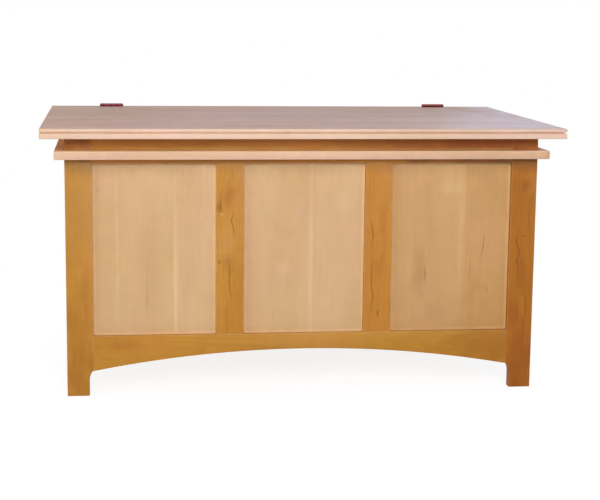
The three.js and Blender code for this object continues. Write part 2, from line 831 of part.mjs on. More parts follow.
let hingeRail = boxSolid(-topWidth / 2, topWidth / 2, caseBack, topBack, topRailBottom, chestHeight);
let lid = lidSolid();
for (const x of hingePlaces) {
  hingeRail = hingeRail.subtract(leafPocket(x, 1));
  lid = lid.subtract(leafPocket(x, -1));
}
for (const [x, y, z] of battenScrewPlaces) lid = lid.subtract(screwHole(woodScrew, x, y, z, '+z'));
for (const [x, y, z] of lidBracketScrewPlaces) lid = lid.subtract(screwHole(leafScrew, x, y, z, '+z'));
chest.add(makeMesh('hinge_rail', lidMaple, toGeometry(hingeRail)));
chest.add(makeMesh('lid', lidMaple, toGeometry(lid)));

// Hinges
hingePlaces.forEach((x, i) => {
  const where = ['left', 'right'][i];
  chest.add(makeMesh(`${where}_hinge_rail_leaf`, copper, toGeometry(leafSolid(x, 1))));
  chest.add(makeMesh(`${where}_hinge_lid_leaf`, copper, toGeometry(leafSolid(x, -1))));
  chest.add(makeMesh(`${where}_hinge_pin`, copper, toGeometry(hingePin(x))));
});

// Battens
battenPlaces.forEach((x, i) => {
  chest.add(makeMesh(['lid_left_batten', 'lid_right_batten'][i], cherry, toGeometry(battenSolid(x))));
});

// Lid stay
chest.add(makeMesh('stay_case_bracket', brass, toGeometry(caseBracketSolid())));
chest.add(makeMesh('stay_lid_bracket', brass, toGeometry(lidBracketSolid())));
chest.add(lowerArm());
chest.add(upperArm());
addScrews(chest, 'stay_case_screw', brass, leafScrew, caseBracketScrewPlaces, '+x');
addScrews(chest, 'stay_lid_screw', brass, leafScrew, lidBracketScrewPlaces, '+z');

export default chest;
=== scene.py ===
import json
import math
import random

import bmesh
import bpy
from mathutils import Matrix, Vector


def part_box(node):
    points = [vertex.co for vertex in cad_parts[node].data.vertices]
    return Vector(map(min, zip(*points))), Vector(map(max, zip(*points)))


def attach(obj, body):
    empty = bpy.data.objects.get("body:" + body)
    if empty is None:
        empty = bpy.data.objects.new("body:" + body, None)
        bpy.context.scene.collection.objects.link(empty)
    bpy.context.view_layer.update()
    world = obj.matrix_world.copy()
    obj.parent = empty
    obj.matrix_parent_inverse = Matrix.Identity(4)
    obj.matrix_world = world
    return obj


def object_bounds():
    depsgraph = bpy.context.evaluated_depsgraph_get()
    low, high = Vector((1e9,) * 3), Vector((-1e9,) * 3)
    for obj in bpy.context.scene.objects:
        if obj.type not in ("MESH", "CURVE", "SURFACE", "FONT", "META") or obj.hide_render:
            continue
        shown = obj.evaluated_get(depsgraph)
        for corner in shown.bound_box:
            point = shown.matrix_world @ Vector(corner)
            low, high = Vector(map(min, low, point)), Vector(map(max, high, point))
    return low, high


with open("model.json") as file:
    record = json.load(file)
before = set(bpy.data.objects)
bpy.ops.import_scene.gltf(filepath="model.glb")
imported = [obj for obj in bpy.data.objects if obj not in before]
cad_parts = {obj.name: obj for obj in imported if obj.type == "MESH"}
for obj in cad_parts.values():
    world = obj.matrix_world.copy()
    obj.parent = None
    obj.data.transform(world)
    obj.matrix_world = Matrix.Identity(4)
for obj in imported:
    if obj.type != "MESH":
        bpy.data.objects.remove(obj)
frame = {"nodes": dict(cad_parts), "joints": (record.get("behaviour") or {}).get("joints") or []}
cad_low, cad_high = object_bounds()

# Blanket chest: oiled cherry frames, maple panels, varnished maple lid and ledge, dark copper hinges
MM = 0.001
scene = bpy.context.scene
scene.view_settings.view_transform = "Standard"

# Camera, solved from the photo: place in metres, turns in degrees, lens and sensor in millimetres
CAMERA_PLACE = Vector((-0.369, -3.121, 0.758))
CAMERA_YAW = 7.21
CAMERA_PITCH = 9.36
CAMERA_ROLL = 0.63
CAMERA_LENS = 89.04
CAMERA_SENSOR = 36.0


def new_object(name, data):
    """A new object, linked to the scene"""
    thing = bpy.data.objects.new(name, data)
    scene.collection.objects.link(thing)
    return thing


def make_camera():
    yaw, pitch, roll = (math.radians(turn) for turn in (CAMERA_YAW, CAMERA_PITCH, CAMERA_ROLL))
    ahead = Vector((math.sin(yaw) * math.cos(pitch), math.cos(yaw) * math.cos(pitch), -math.sin(pitch)))
    right = Vector((math.cos(yaw), -math.sin(yaw), 0.0))
    up = right.cross(ahead)
    tilted_right = math.cos(roll) * right + math.sin(roll) * up
    tilted_up = -math.sin(roll) * right + math.cos(roll) * up
    data = bpy.data.cameras.new("camera")
    data.sensor_width = CAMERA_SENSOR
    data.lens = CAMERA_LENS
    camera = new_object("camera", data)
    turn = Matrix((tilted_right, tilted_up, -ahead)).transposed()
    camera.matrix_world = Matrix.Translation(CAMERA_PLACE) @ turn.to_4x4()
    scene.camera = camera


make_camera()


# Small helpers that build node trees

VALUE = "NodeSocketFloat"
VECTOR = "NodeSocketVector"
COLOUR = "NodeSocketColor"
# A Mix node has sockets of the same names for each kind of value, so those for colours go by number
MIX_FIRST = 6
MIX_SECOND = 7
MIX_RESULT = 2
ZERO = (0.0, 0.0, 0.0)
ONE = (1.0, 1.0, 1.0)
GREY = (0.5, 0.5, 0.5, 1.0)
WHITE = (1.0, 1.0, 1.0, 1.0)


def wire(tree, value, socket):
    """Links another node's output to the socket, or sets a plain value on it"""
    if isinstance(value, bpy.types.NodeSocket):
        tree.links.new(value, socket)
    else:
        socket.default_value = value


def calc(tree, operation, *values):
    node = tree.nodes.new("ShaderNodeMath")
    node.operation = operation
    for value, socket in zip(values, node.inputs):
        wire(tree, value, socket)
    return node.outputs[0]


def add(tree, first, second):
    return calc(tree, "ADD", first, second)


def minus(tree, first, second):
    return calc(tree, "SUBTRACT", first, second)


def times(tree, first, second):
    return calc(tree, "MULTIPLY", first, second)


def centred(tree, value):
    """A value from 0 to 1, moved so that it swings round 0"""
    return minus(tree, value, 0.5)


def vector_calc(tree, operation, *values):
    node = tree.nodes.new("ShaderNodeVectorMath")
    node.operation = operation
    for value, socket in zip(values, node.inputs):
        wire(tree, value, socket)
    return node.outputs["Value" if operation in ("LENGTH", "DOT_PRODUCT") else "Vector"]


def split(tree, vector):
    node = tree.nodes.new("ShaderNodeSeparateXYZ")
    wire(tree, vector, node.inputs[0])
    return node.outputs


def combine(tree, x, y, z):
    node = tree.nodes.new("ShaderNodeCombineXYZ")
    for value, socket in zip((x, y, z), node.inputs):
        wire(tree, value, socket)
    return node.outputs[0]


def ramp(tree, value, low, high):
    """0 below low, 1 above high, smooth between them; turned round where low is above high"""
    node = tree.nodes.new("ShaderNodeMapRange")
    node.interpolation_type = "SMOOTHSTEP"
    turned = low > high
    wire(tree, value, node.inputs["Value"])
    node.inputs["From Min"].default_value = min(low, high)
    node.inputs["From Max"].default_value = max(low, high)
    node.inputs["To Min"].default_value = 1.0 if turned else 0.0
    node.inputs["To Max"].default_value = 0.0 if turned else 1.0
    return node.outputs["Result"]


def noise(tree, vector, stretch, detail=2.0, roughness=0.5):
    """Noise of vector times stretch, from 0 to 1"""
    node = tree.nodes.new("ShaderNodeTexNoise")
    node.inputs["Scale"].default_value = 1.0
    node.inputs["Detail"].default_value = detail
    node.inputs["Roughness"].default_value = roughness
    wire(tree, vector_calc(tree, "MULTIPLY", vector, stretch), node.inputs["Vector"])
    return node.outputs["Fac"]


def mix(tree, factor, first, second, mode="MIX"):
    node = tree.nodes.new("ShaderNodeMix")
    node.data_type = "RGBA"
    node.blend_type = mode
    wire(tree, factor, node.inputs["Factor"])
    wire(tree, first, node.inputs[MIX_FIRST])
    wire(tree, second, node.inputs[MIX_SECOND])
    return node.outputs[MIX_RESULT]


def new_group(name, inputs, outputs):
    """A node group. An input's default gives its kind: three numbers are a vector and four a colour."""
    group = bpy.data.node_groups.new(name, "ShaderNodeTree")
    kinds = {3: VECTOR, 4: COLOUR}
    for label, default in inputs.items():
        kind = kinds[len(default)] if isinstance(default, tuple) else VALUE
        socket = group.interface.new_socket(name=label, in_out="INPUT", socket_type=kind)
        socket.default_value = default
    for label, kind in outputs.items():
        group.interface.new_socket(name=label, in_out="OUTPUT", socket_type=kind)
    source = group.nodes.new("NodeGroupInput")
    sink = group.nodes.new("NodeGroupOutput")
    return group, source.outputs, sink.inputs


def give_out(group, out, results):
    """Leads each result to the group's output of its name"""
    for name, result in results.items():
        group.links.new(result, out[name])


def place_group(tree, group, **values):
    """The group placed in a tree. Values go to its inputs by name, with underscores for spaces."""
    node = tree.nodes.new("ShaderNodeGroup")
    node.node_tree = group
    for name, value in values.items():
        wire(tree, value, node.inputs[name.replace("_", " ")])
    return node.outputs


def srgb(red, green, blue):
    """A colour written as 0 to 255 screen values, as linear light with alpha"""
    def linear(value):
        share = value / 255
        return share / 12.92 if share <= 0.04045 else ((share + 0.055) / 1.055) ** 2.4
    return (linear(red), linear(green), linear(blue), 1.0)


def tinted(values, tint):
    """Screen values as linear light, times a tint"""
    return tuple(value * share for value, share in zip(srgb(*values), (*tint, 1.0)))


# Node groups that several materials share. In wood space X runs across the board, Y through it and Z along
# its grain. A noise pattern is how often it changes in a metre along X, Y and Z, then its detail, and its
# roughness where that isn't the usual one. A range is where something begins and where it is whole.

# What a board's figure gives, and what a finish gives
FIGURE = ("Ring", "Fibre", "Tone", "Blush", "Curl", "Pore", "Height")
SURFACE = {"Color": COLOUR, "Roughness": VALUE, "Height": VALUE}
FAR_AWAY = (9.0, 9.0, 9.0)
WHOLE_RANGE = (0.3, 0.7)

# The board's figure: how far a seed moves it, how its rings wander and show, its fibres, pores and tones
SEED_SHIFT = (3.17, 1.91, 5.23)
SLOW_WANDER = ((4.5, 4.5, 1.7), 2.0)
SLOW_REACH = 4.0
QUICK_WANDER = ((26.0, 26.0, 6.0), 1.0)
QUICK_REACH = 0.7
UNLIKE_YEARS = ((0.37, 1.0, 1.0), 1.0)
UNLIKE_REACH = 2.4
GROWTH = ((0.2, 0.9), (1.0, 0.93))
GROWTH_SHARE = 0.45
LATE_WOOD = ((0.7, 0.92), (1.0, 0.95))
LATE_WOOD_SHARE = 0.55
CLEAR_RINGS = ((8.0, 8.0, 3.5), 2.0)
CLEAR_RINGS_RANGE = (0.36, 0.66)
CLEAR_SHARE = 0.8
FAINT_SHARE = 0.2
FINE_FIBRES = ((1300.0, 1300.0, 20.0), 2.0, 0.6)
FINE_SHARE = 0.6
COARSE_FIBRES = ((260.0, 260.0, 5.0), 2.0, 0.6)
COARSE_SHARE = 0.4
PORES = ((620.0, 620.0, 45.0), 1.0)
PORE_RANGE = (0.64, 0.76)
TONES = ((13.0, 13.0, 3.0), 3.0)
BLUSHES = ((9.0, 9.0, 4.0), 3.0)
BLUSH_RANGE = (0.4, 0.66)
CURLS = ((23.0, 23.0, 38.0), 3.0)
PORE_DEPTH = 0.8
RING_DEPTH = 0.35


def wood_figure_group():
    """Growth rings, fibres, pores and cross-grain curl of a board that was sawn beside the tree's heart"""
    group, given, out = new_group(
        "wood figure",
        {"Vector": ZERO, "Seed": 0.0, "Ring spacing": 0.0, "Heart aside": 0.0, "Heart depth": 0.0,
         "Wander": 0.0},
        dict.fromkeys(FIGURE, VALUE),
    )
    seed = given["Seed"]
    shift = combine(group, *(times(group, seed, step) for step in SEED_SHIFT))
    moved = vector_calc(group, "ADD", given["Vector"], shift)
    axes = split(group, given["Vector"])
    slow = times(group, centred(group, noise(group, moved, *SLOW_WANDER)), SLOW_REACH)
    quick = times(group, centred(group, noise(group, moved, *QUICK_WANDER)), QUICK_REACH)
    wander = times(group, given["Wander"], add(group, slow, quick))
    across = add(group, axes[0], given["Heart aside"])
    through = add(group, axes[1], given["Heart depth"])
    radius = vector_calc(group, "LENGTH", combine(group, across, through, 0.0))
    years = calc(group, "DIVIDE", add(group, radius, wander), given["Ring spacing"])
    unlike = noise(group, combine(group, years, seed, 0.0), *UNLIKE_YEARS)
    season = calc(group, "FRACT", add(group, years, times(group, unlike, UNLIKE_REACH)))
    growth, late = (times(group, ramp(group, season, *start), ramp(group, season, *end))
                    for start, end in (GROWTH, LATE_WOOD))
    ring = add(group, times(group, growth, GROWTH_SHARE), times(group, late, LATE_WOOD_SHARE))
    clear = ramp(group, noise(group, moved, *CLEAR_RINGS), *CLEAR_RINGS_RANGE)
    ring = times(group, ring, add(group, times(group, clear, CLEAR_SHARE), FAINT_SHARE))
    fine = times(group, noise(group, moved, *FINE_FIBRES), FINE_SHARE)
    coarse = times(group, noise(group, moved, *COARSE_FIBRES), COARSE_SHARE)
    fibre = add(group, fine, coarse)
    pore = ramp(group, noise(group, moved, *PORES), *PORE_RANGE)
    sunk = add(group, times(group, pore, PORE_DEPTH), times(group, ring, RING_DEPTH))
    give_out(group, out, {
        "Ring": ring,
        "Fibre": ramp(group, fibre, *WHOLE_RANGE),
        "Tone": ramp(group, noise(group, moved, *TONES), *WHOLE_RANGE),
        "Blush": ramp(group, noise(group, moved, *BLUSHES), *BLUSH_RANGE),
        "Curl": ramp(group, noise(group, moved, *CURLS), *WHOLE_RANGE),
        "Pore": pore,
        "Height": minus(group, fibre, sunk),
    })
    return group


# Glued-up boards: how far the figure moves from strip to strip, and the seams at the joints
STRIP_SHIFT = (0.037, 0.013, 1.37)
SEAM_RANGE = (0.7 * MM, 0.1 * MM)


def glued_boards_group():
    """Splits a glued-up board at up to three joints. Each strip has its own figure, tint and warmth."""
    group, given, out = new_group(
        "glued boards",
        {"Vector": ZERO, "Joints": FAR_AWAY, "Tint steps": ZERO, "Warmth steps": ZERO},
        {"Vector": VECTOR, "Tint": VALUE, "Warmth": VALUE, "Seam": VALUE},
    )
    across = split(group, given["Vector"])[0]
    joints = split(group, given["Joints"])
    passed = combine(group, *(calc(group, "GREATER_THAN", across, joint) for joint in joints))
    first, second, third = (calc(group, "ABSOLUTE", minus(group, across, joint)) for joint in joints)
    nearest = calc(group, "MINIMUM", calc(group, "MINIMUM", first, second), third)
    strip = vector_calc(group, "DOT_PRODUCT", passed, ONE)
    shift = combine(group, *(times(group, strip, step) for step in STRIP_SHIFT))
    give_out(group, out, {
        "Vector": vector_calc(group, "ADD", given["Vector"], shift),
        "Tint": vector_calc(group, "DOT_PRODUCT", passed, given["Tint steps"]),
        "Warmth": vector_calc(group, "DOT_PRODUCT", passed, given["Warmth steps"]),
        "Seam": ramp(group, nearest, *SEAM_RANGE),
    })
    return group


# Marks in the wood: how they wander along the grain, and how ragged their edges are
MARK_WAVE = ((0.0, 700.0, 29.0), 2.0)
MARK_SWING = 6.5
MARK_EDGE = ((60.0, 60.0, 22.0), 3.0, 0.6)
MARK_RAGGEDNESS = 1.2
MARK_RANGE = (1.05, 0.0)
FLAT_ON_BOARD = (1.0, 0.0, 1.0)


def wood_mark_group():
    """A soft-edged mark, long or round, that wanders along the grain: a knot, a gum line, a pale streak"""
    group, given, out = new_group(
        "mark in the wood",
        {"Vector": ZERO, "Place": FAR_AWAY, "Half size": ONE, "Wave": 0.0},
        {"Mask": VALUE},
    )
    away = vector_calc(group, "SUBTRACT", given["Vector"], given["Place"])
    along = split(group, given["Vector"])[2]
    bend = noise(group, combine(group, 0.0, given["Wave"], along), *MARK_WAVE)
    swing = times(group, times(group, centred(group, bend), MARK_SWING), given["Wave"])
    moved = vector_calc(group, "ADD", away, combine(group, swing, 0.0, 0.0))
    scaled = vector_calc(group, "DIVIDE", moved, given["Half size"])
    distance = vector_calc(group, "LENGTH", vector_calc(group, "MULTIPLY", scaled, FLAT_ON_BOARD))
    ragged = times(group, centred(group, noise(group, given["Vector"], *MARK_EDGE)), MARK_RAGGEDNESS)
    give_out(group, out, {"Mask": ramp(group, add(group, distance, ragged), *MARK_RANGE)})
    return group


# Worn edges: how unevenly they wear, and how wide the border along them is
WEAR_PATCHES = ((55.0, 55.0, 55.0), 3.0, 0.65)
WEAR_UNEVENNESS = 1.3
WEAR_RANGE = (1.45, 0.35)
BORDER_RANGE = (7 * MM, 0.0)
WOOD_WEAR_REACH = 3 * MM


def worn_edges_group():
    """How worn a place on a box is, near the box's edges, and how near it is to them"""
    group, given, out = new_group(
        "worn edges",
        {"Vector": ZERO, "Half size": ONE, "Reach": WOOD_WEAR_REACH},
        {"Wear": VALUE, "Border": VALUE},
    )
    away = vector_calc(group, "ABSOLUTE", given["Vector"])
    x, y, z = split(group, vector_calc(group, "SUBTRACT", given["Half size"], away))
    inner = calc(group, "MINIMUM", calc(group, "MAXIMUM", x, y), z)
    middle = calc(group, "MAXIMUM", calc(group, "MINIMUM", x, y), inner)
    uneven = times(group, noise(group, given["Vector"], *WEAR_PATCHES), WEAR_UNEVENNESS)
    near = add(group, calc(group, "DIVIDE", middle, given["Reach"]), uneven)
    give_out(group, out, {
        "Wear": ramp(group, near, *WEAR_RANGE),
        "Border": ramp(group, middle, *BORDER_RANGE),
    })
    return group


# Finished wood: how much its figure and its wear count in its colour, roughness and height. The lightening
# of worn edges is partly wear and partly a painted highlight along the arrises.
WARMTH_IN_RED = 0.3
SEAM_SHARE = 0.2
BORDER_SHARE = 0.03
WEAR_AND_HIGHLIGHT_COLOUR = (0.9, 0.8, 0.66, 1.0)
WEAR_AND_HIGHLIGHT_COLOUR_SHARE = 0.5
WEAR_AND_HIGHLIGHT_SHARE = 0.26
RUBBED = ((14.0, 14.0, 6.0), 4.0, 0.6)
RUBBED_ROUGHNESS = 0.22
FIBRE_ROUGHNESS = 0.06
WORN_GLOSS = 0.06
RIPPLE = ((210.0, 210.0, 210.0), 1.0)
RIPPLE_HEIGHT = 0.25
SEAM_DEPTH = 0.5


def finished_wood_group():
    """Colour, roughness and bump height of finished wood, from its figure and its wear"""
    colours = ("Light", "Dark", "Blush colour", "Line")
    values = (*FIGURE, "Ring share", "Fibre share", "Pore share", "Blush share", "Curl share", "Tint",
              "Warmth", "Seam", "Wear", "Border", "Roughness")
    group, given, out = new_group(
        "finished wood",
        {**dict.fromkeys(colours, GREY), **dict.fromkeys(values, 0.0), "Vector": ZERO},
        SURFACE,
    )
    colour = mix(group, given["Tone"], given["Light"], given["Dark"])
    blush = times(group, given["Blush"], given["Blush share"])
    colour = mix(group, blush, colour, given["Blush colour"])
    colour = mix(group, times(group, given["Ring"], given["Ring share"]), colour, given["Line"])
    fibres = times(group, centred(group, given["Fibre"]), given["Fibre share"])
    curls = times(group, centred(group, given["Curl"]), given["Curl share"])
    level = add(group, 1.0, add(group, add(group, fibres, curls), given["Tint"]))
    red = add(group, level, times(group, given["Warmth"], WARMTH_IN_RED))
    blue = minus(group, level, given["Warmth"])
    colour = mix(group, 1.0, colour, combine(group, red, level, blue), "MULTIPLY")
    pores = times(group, given["Pore"], given["Pore share"])
    lines = calc(group, "MAXIMUM", pores, times(group, given["Seam"], SEAM_SHARE))
    colour = mix(group, lines, colour, given["Line"])
    colour = mix(group, times(group, given["Border"], BORDER_SHARE), colour, given["Line"])
    # Worn edges are lightened: partly wear, partly a painted highlight along the arrises
    worn = mix(group, WEAR_AND_HIGHLIGHT_COLOUR_SHARE, given["Light"], WEAR_AND_HIGHLIGHT_COLOUR)
    colour = mix(group, times(group, given["Wear"], WEAR_AND_HIGHLIGHT_SHARE), colour, worn)
    rubbed = times(group, centred(group, noise(group, given["Vector"], *RUBBED)), RUBBED_ROUGHNESS)
    rough = add(group, given["Roughness"], rubbed)
    rough = add(group, rough, times(group, centred(group, given["Fibre"]), FIBRE_ROUGHNESS))
    rough = minus(group, rough, times(group, given["Wear"], WORN_GLOSS))
    ripple = times(group, noise(group, given["Vector"], *RIPPLE), RIPPLE_HEIGHT)
    height = minus(group, add(group, given["Height"], ripple), times(group, given["Seam"], SEAM_DEPTH))
    give_out(group, out, {"Color": colour, "Roughness": rough, "Height": height})
    return group


# Aged metal: its patches of tarnish and its dark spots, and how much they and the wear count
TARNISH_PATCHES = ((160.0, 160.0, 160.0), 4.0, 0.65)
TARNISH_RANGE = (0.38, 0.62)
TARNISH_ROUGHNESS = 0.22
SPOTS = ((900.0, 900.0, 900.0), 2.0)
SPOT_RANGE = (0.62, 0.75)
SPOT_SHARE = 0.35
SPOT_DEPTH = 0.6
BRIGHT_SHARE = 0.6
BRIGHT_GLOSS = 0.08
DRAWN_ROUGHNESS = 0.16


def aged_metal_group():
    """Plated or brushed metal: fine draw lines, tarnish in patches, dark spots and bright worn edges"""
    group, given, out = new_group(
        "aged metal",
        {"Vector": ZERO, "Draw": ONE, "Clean": GREY, "Tarnish": GREY, "Bright": GREY, "Tarnish share": 0.0,
         "Wear": 0.0, "Roughness": 0.0},
        SURFACE,
    )
    drawn = noise(group, given["Vector"], given["Draw"])
    patches = ramp(group, noise(group, given["Vector"], *TARNISH_PATCHES), *TARNISH_RANGE)
    spots = ramp(group, noise(group, given["Vector"], *SPOTS), *SPOT_RANGE)
    tarnish = times(group, patches, given["Tarnish share"])
    colour = mix(group, tarnish, given["Clean"], given["Tarnish"])
    colour = mix(group, times(group, spots, SPOT_SHARE), colour, given["Tarnish"])
    colour = mix(group, times(group, given["Wear"], BRIGHT_SHARE), colour, given["Bright"])
    rough = add(group, given["Roughness"], times(group, tarnish, TARNISH_ROUGHNESS))
    rough = add(group, rough, times(group, centred(group, drawn), DRAWN_ROUGHNESS))
    rough = minus(group, rough, times(group, given["Wear"], BRIGHT_GLOSS))
    height = minus(group, drawn, times(group, spots, SPOT_DEPTH))
    give_out(group, out, {"Color": colour, "Roughness": rough, "Height": height})
    return group


WOOD_FIGURE = wood_figure_group()
GLUED_BOARDS = glued_boards_group()
WOOD_MARK = wood_mark_group()
WORN_EDGES = worn_edges_group()
FINISHED_WOOD = finished_wood_group()
AGED_METAL = aged_metal_group()


# Woods: colours as screen values, sizes in metres

WOODS = {
    "cherry": {
        "light": (198, 143, 56), "dark": (186, 128, 45), "blush": (196, 132, 54), "line": (128, 72, 28),
        "ring_share": 0.15, "fibre_share": 0.08, "pore_share": 0.18, "blush_share": 0.6, "curl_share": 0.07,
        "ring_spacing": 0.0052, "heart_depth": 0.045, "wander": 0.010,
        "roughness": 0.44, "specular": 0.22, "bump": 0.1,
    },
    "panel_maple": {
        "light": (214, 179, 129), "dark": (206, 169, 117), "blush": (213, 172, 130), "line": (172, 122, 76),
        "ring_share": 0.08, "fibre_share": 0.04, "pore_share": 0.08, "blush_share": 0.5, "curl_share": 0.04,
        "ring_spacing": 0.0085, "heart_depth": 0.09, "wander": 0.014,
        "roughness": 0.48, "specular": 0.28, "bump": 0.06,
    },
    "top_maple": {
        "light": (230, 197, 166), "dark": (221, 186, 153), "blush": (228, 189, 162), "line": (180, 132, 98),
        "ring_share": 0.12, "fibre_share": 0.06, "pore_share": 0.07, "blush_share": 0.5, "curl_share": 0.05,
        "ring_spacing": 0.008, "heart_depth": 0.08, "wander": 0.012,
        "roughness": 0.44, "specular": 0.003, "bump": 0.05,
    },
}
PLAIN = (1.0, 1.0, 1.0)
# Which of X, Y and Z runs across a board, through it and along its grain
UPRIGHT_FRONT = (0, 1, 2)
UPRIGHT_END = (1, 0, 2)
LEVEL_FRONT = (2, 1, 0)
LEVEL_END = (2, 0, 1)
FLAT_ALONG_X = (1, 2, 0)
FLAT_ALONG_Y = (0, 2, 1)

# The colour at 112, 84, 52 is painted shadow, laid just under the ledge on the front pieces
MARK_COLOURS = {
    "dark": (74, 36, 14), "knot": (98, 46, 20), "gum": (118, 62, 24), "russet": (150, 76, 30),
    "olive": (184, 140, 66), "tan": (186, 138, 90), "pink": (222, 172, 146), "pale": (238, 208, 170),
    "amber": (166, 108, 30), "honey": (204, 180, 92), "painted_edge_light": (244, 204, 152), "painted_ledge_shadow": (112, 84, 52),
}
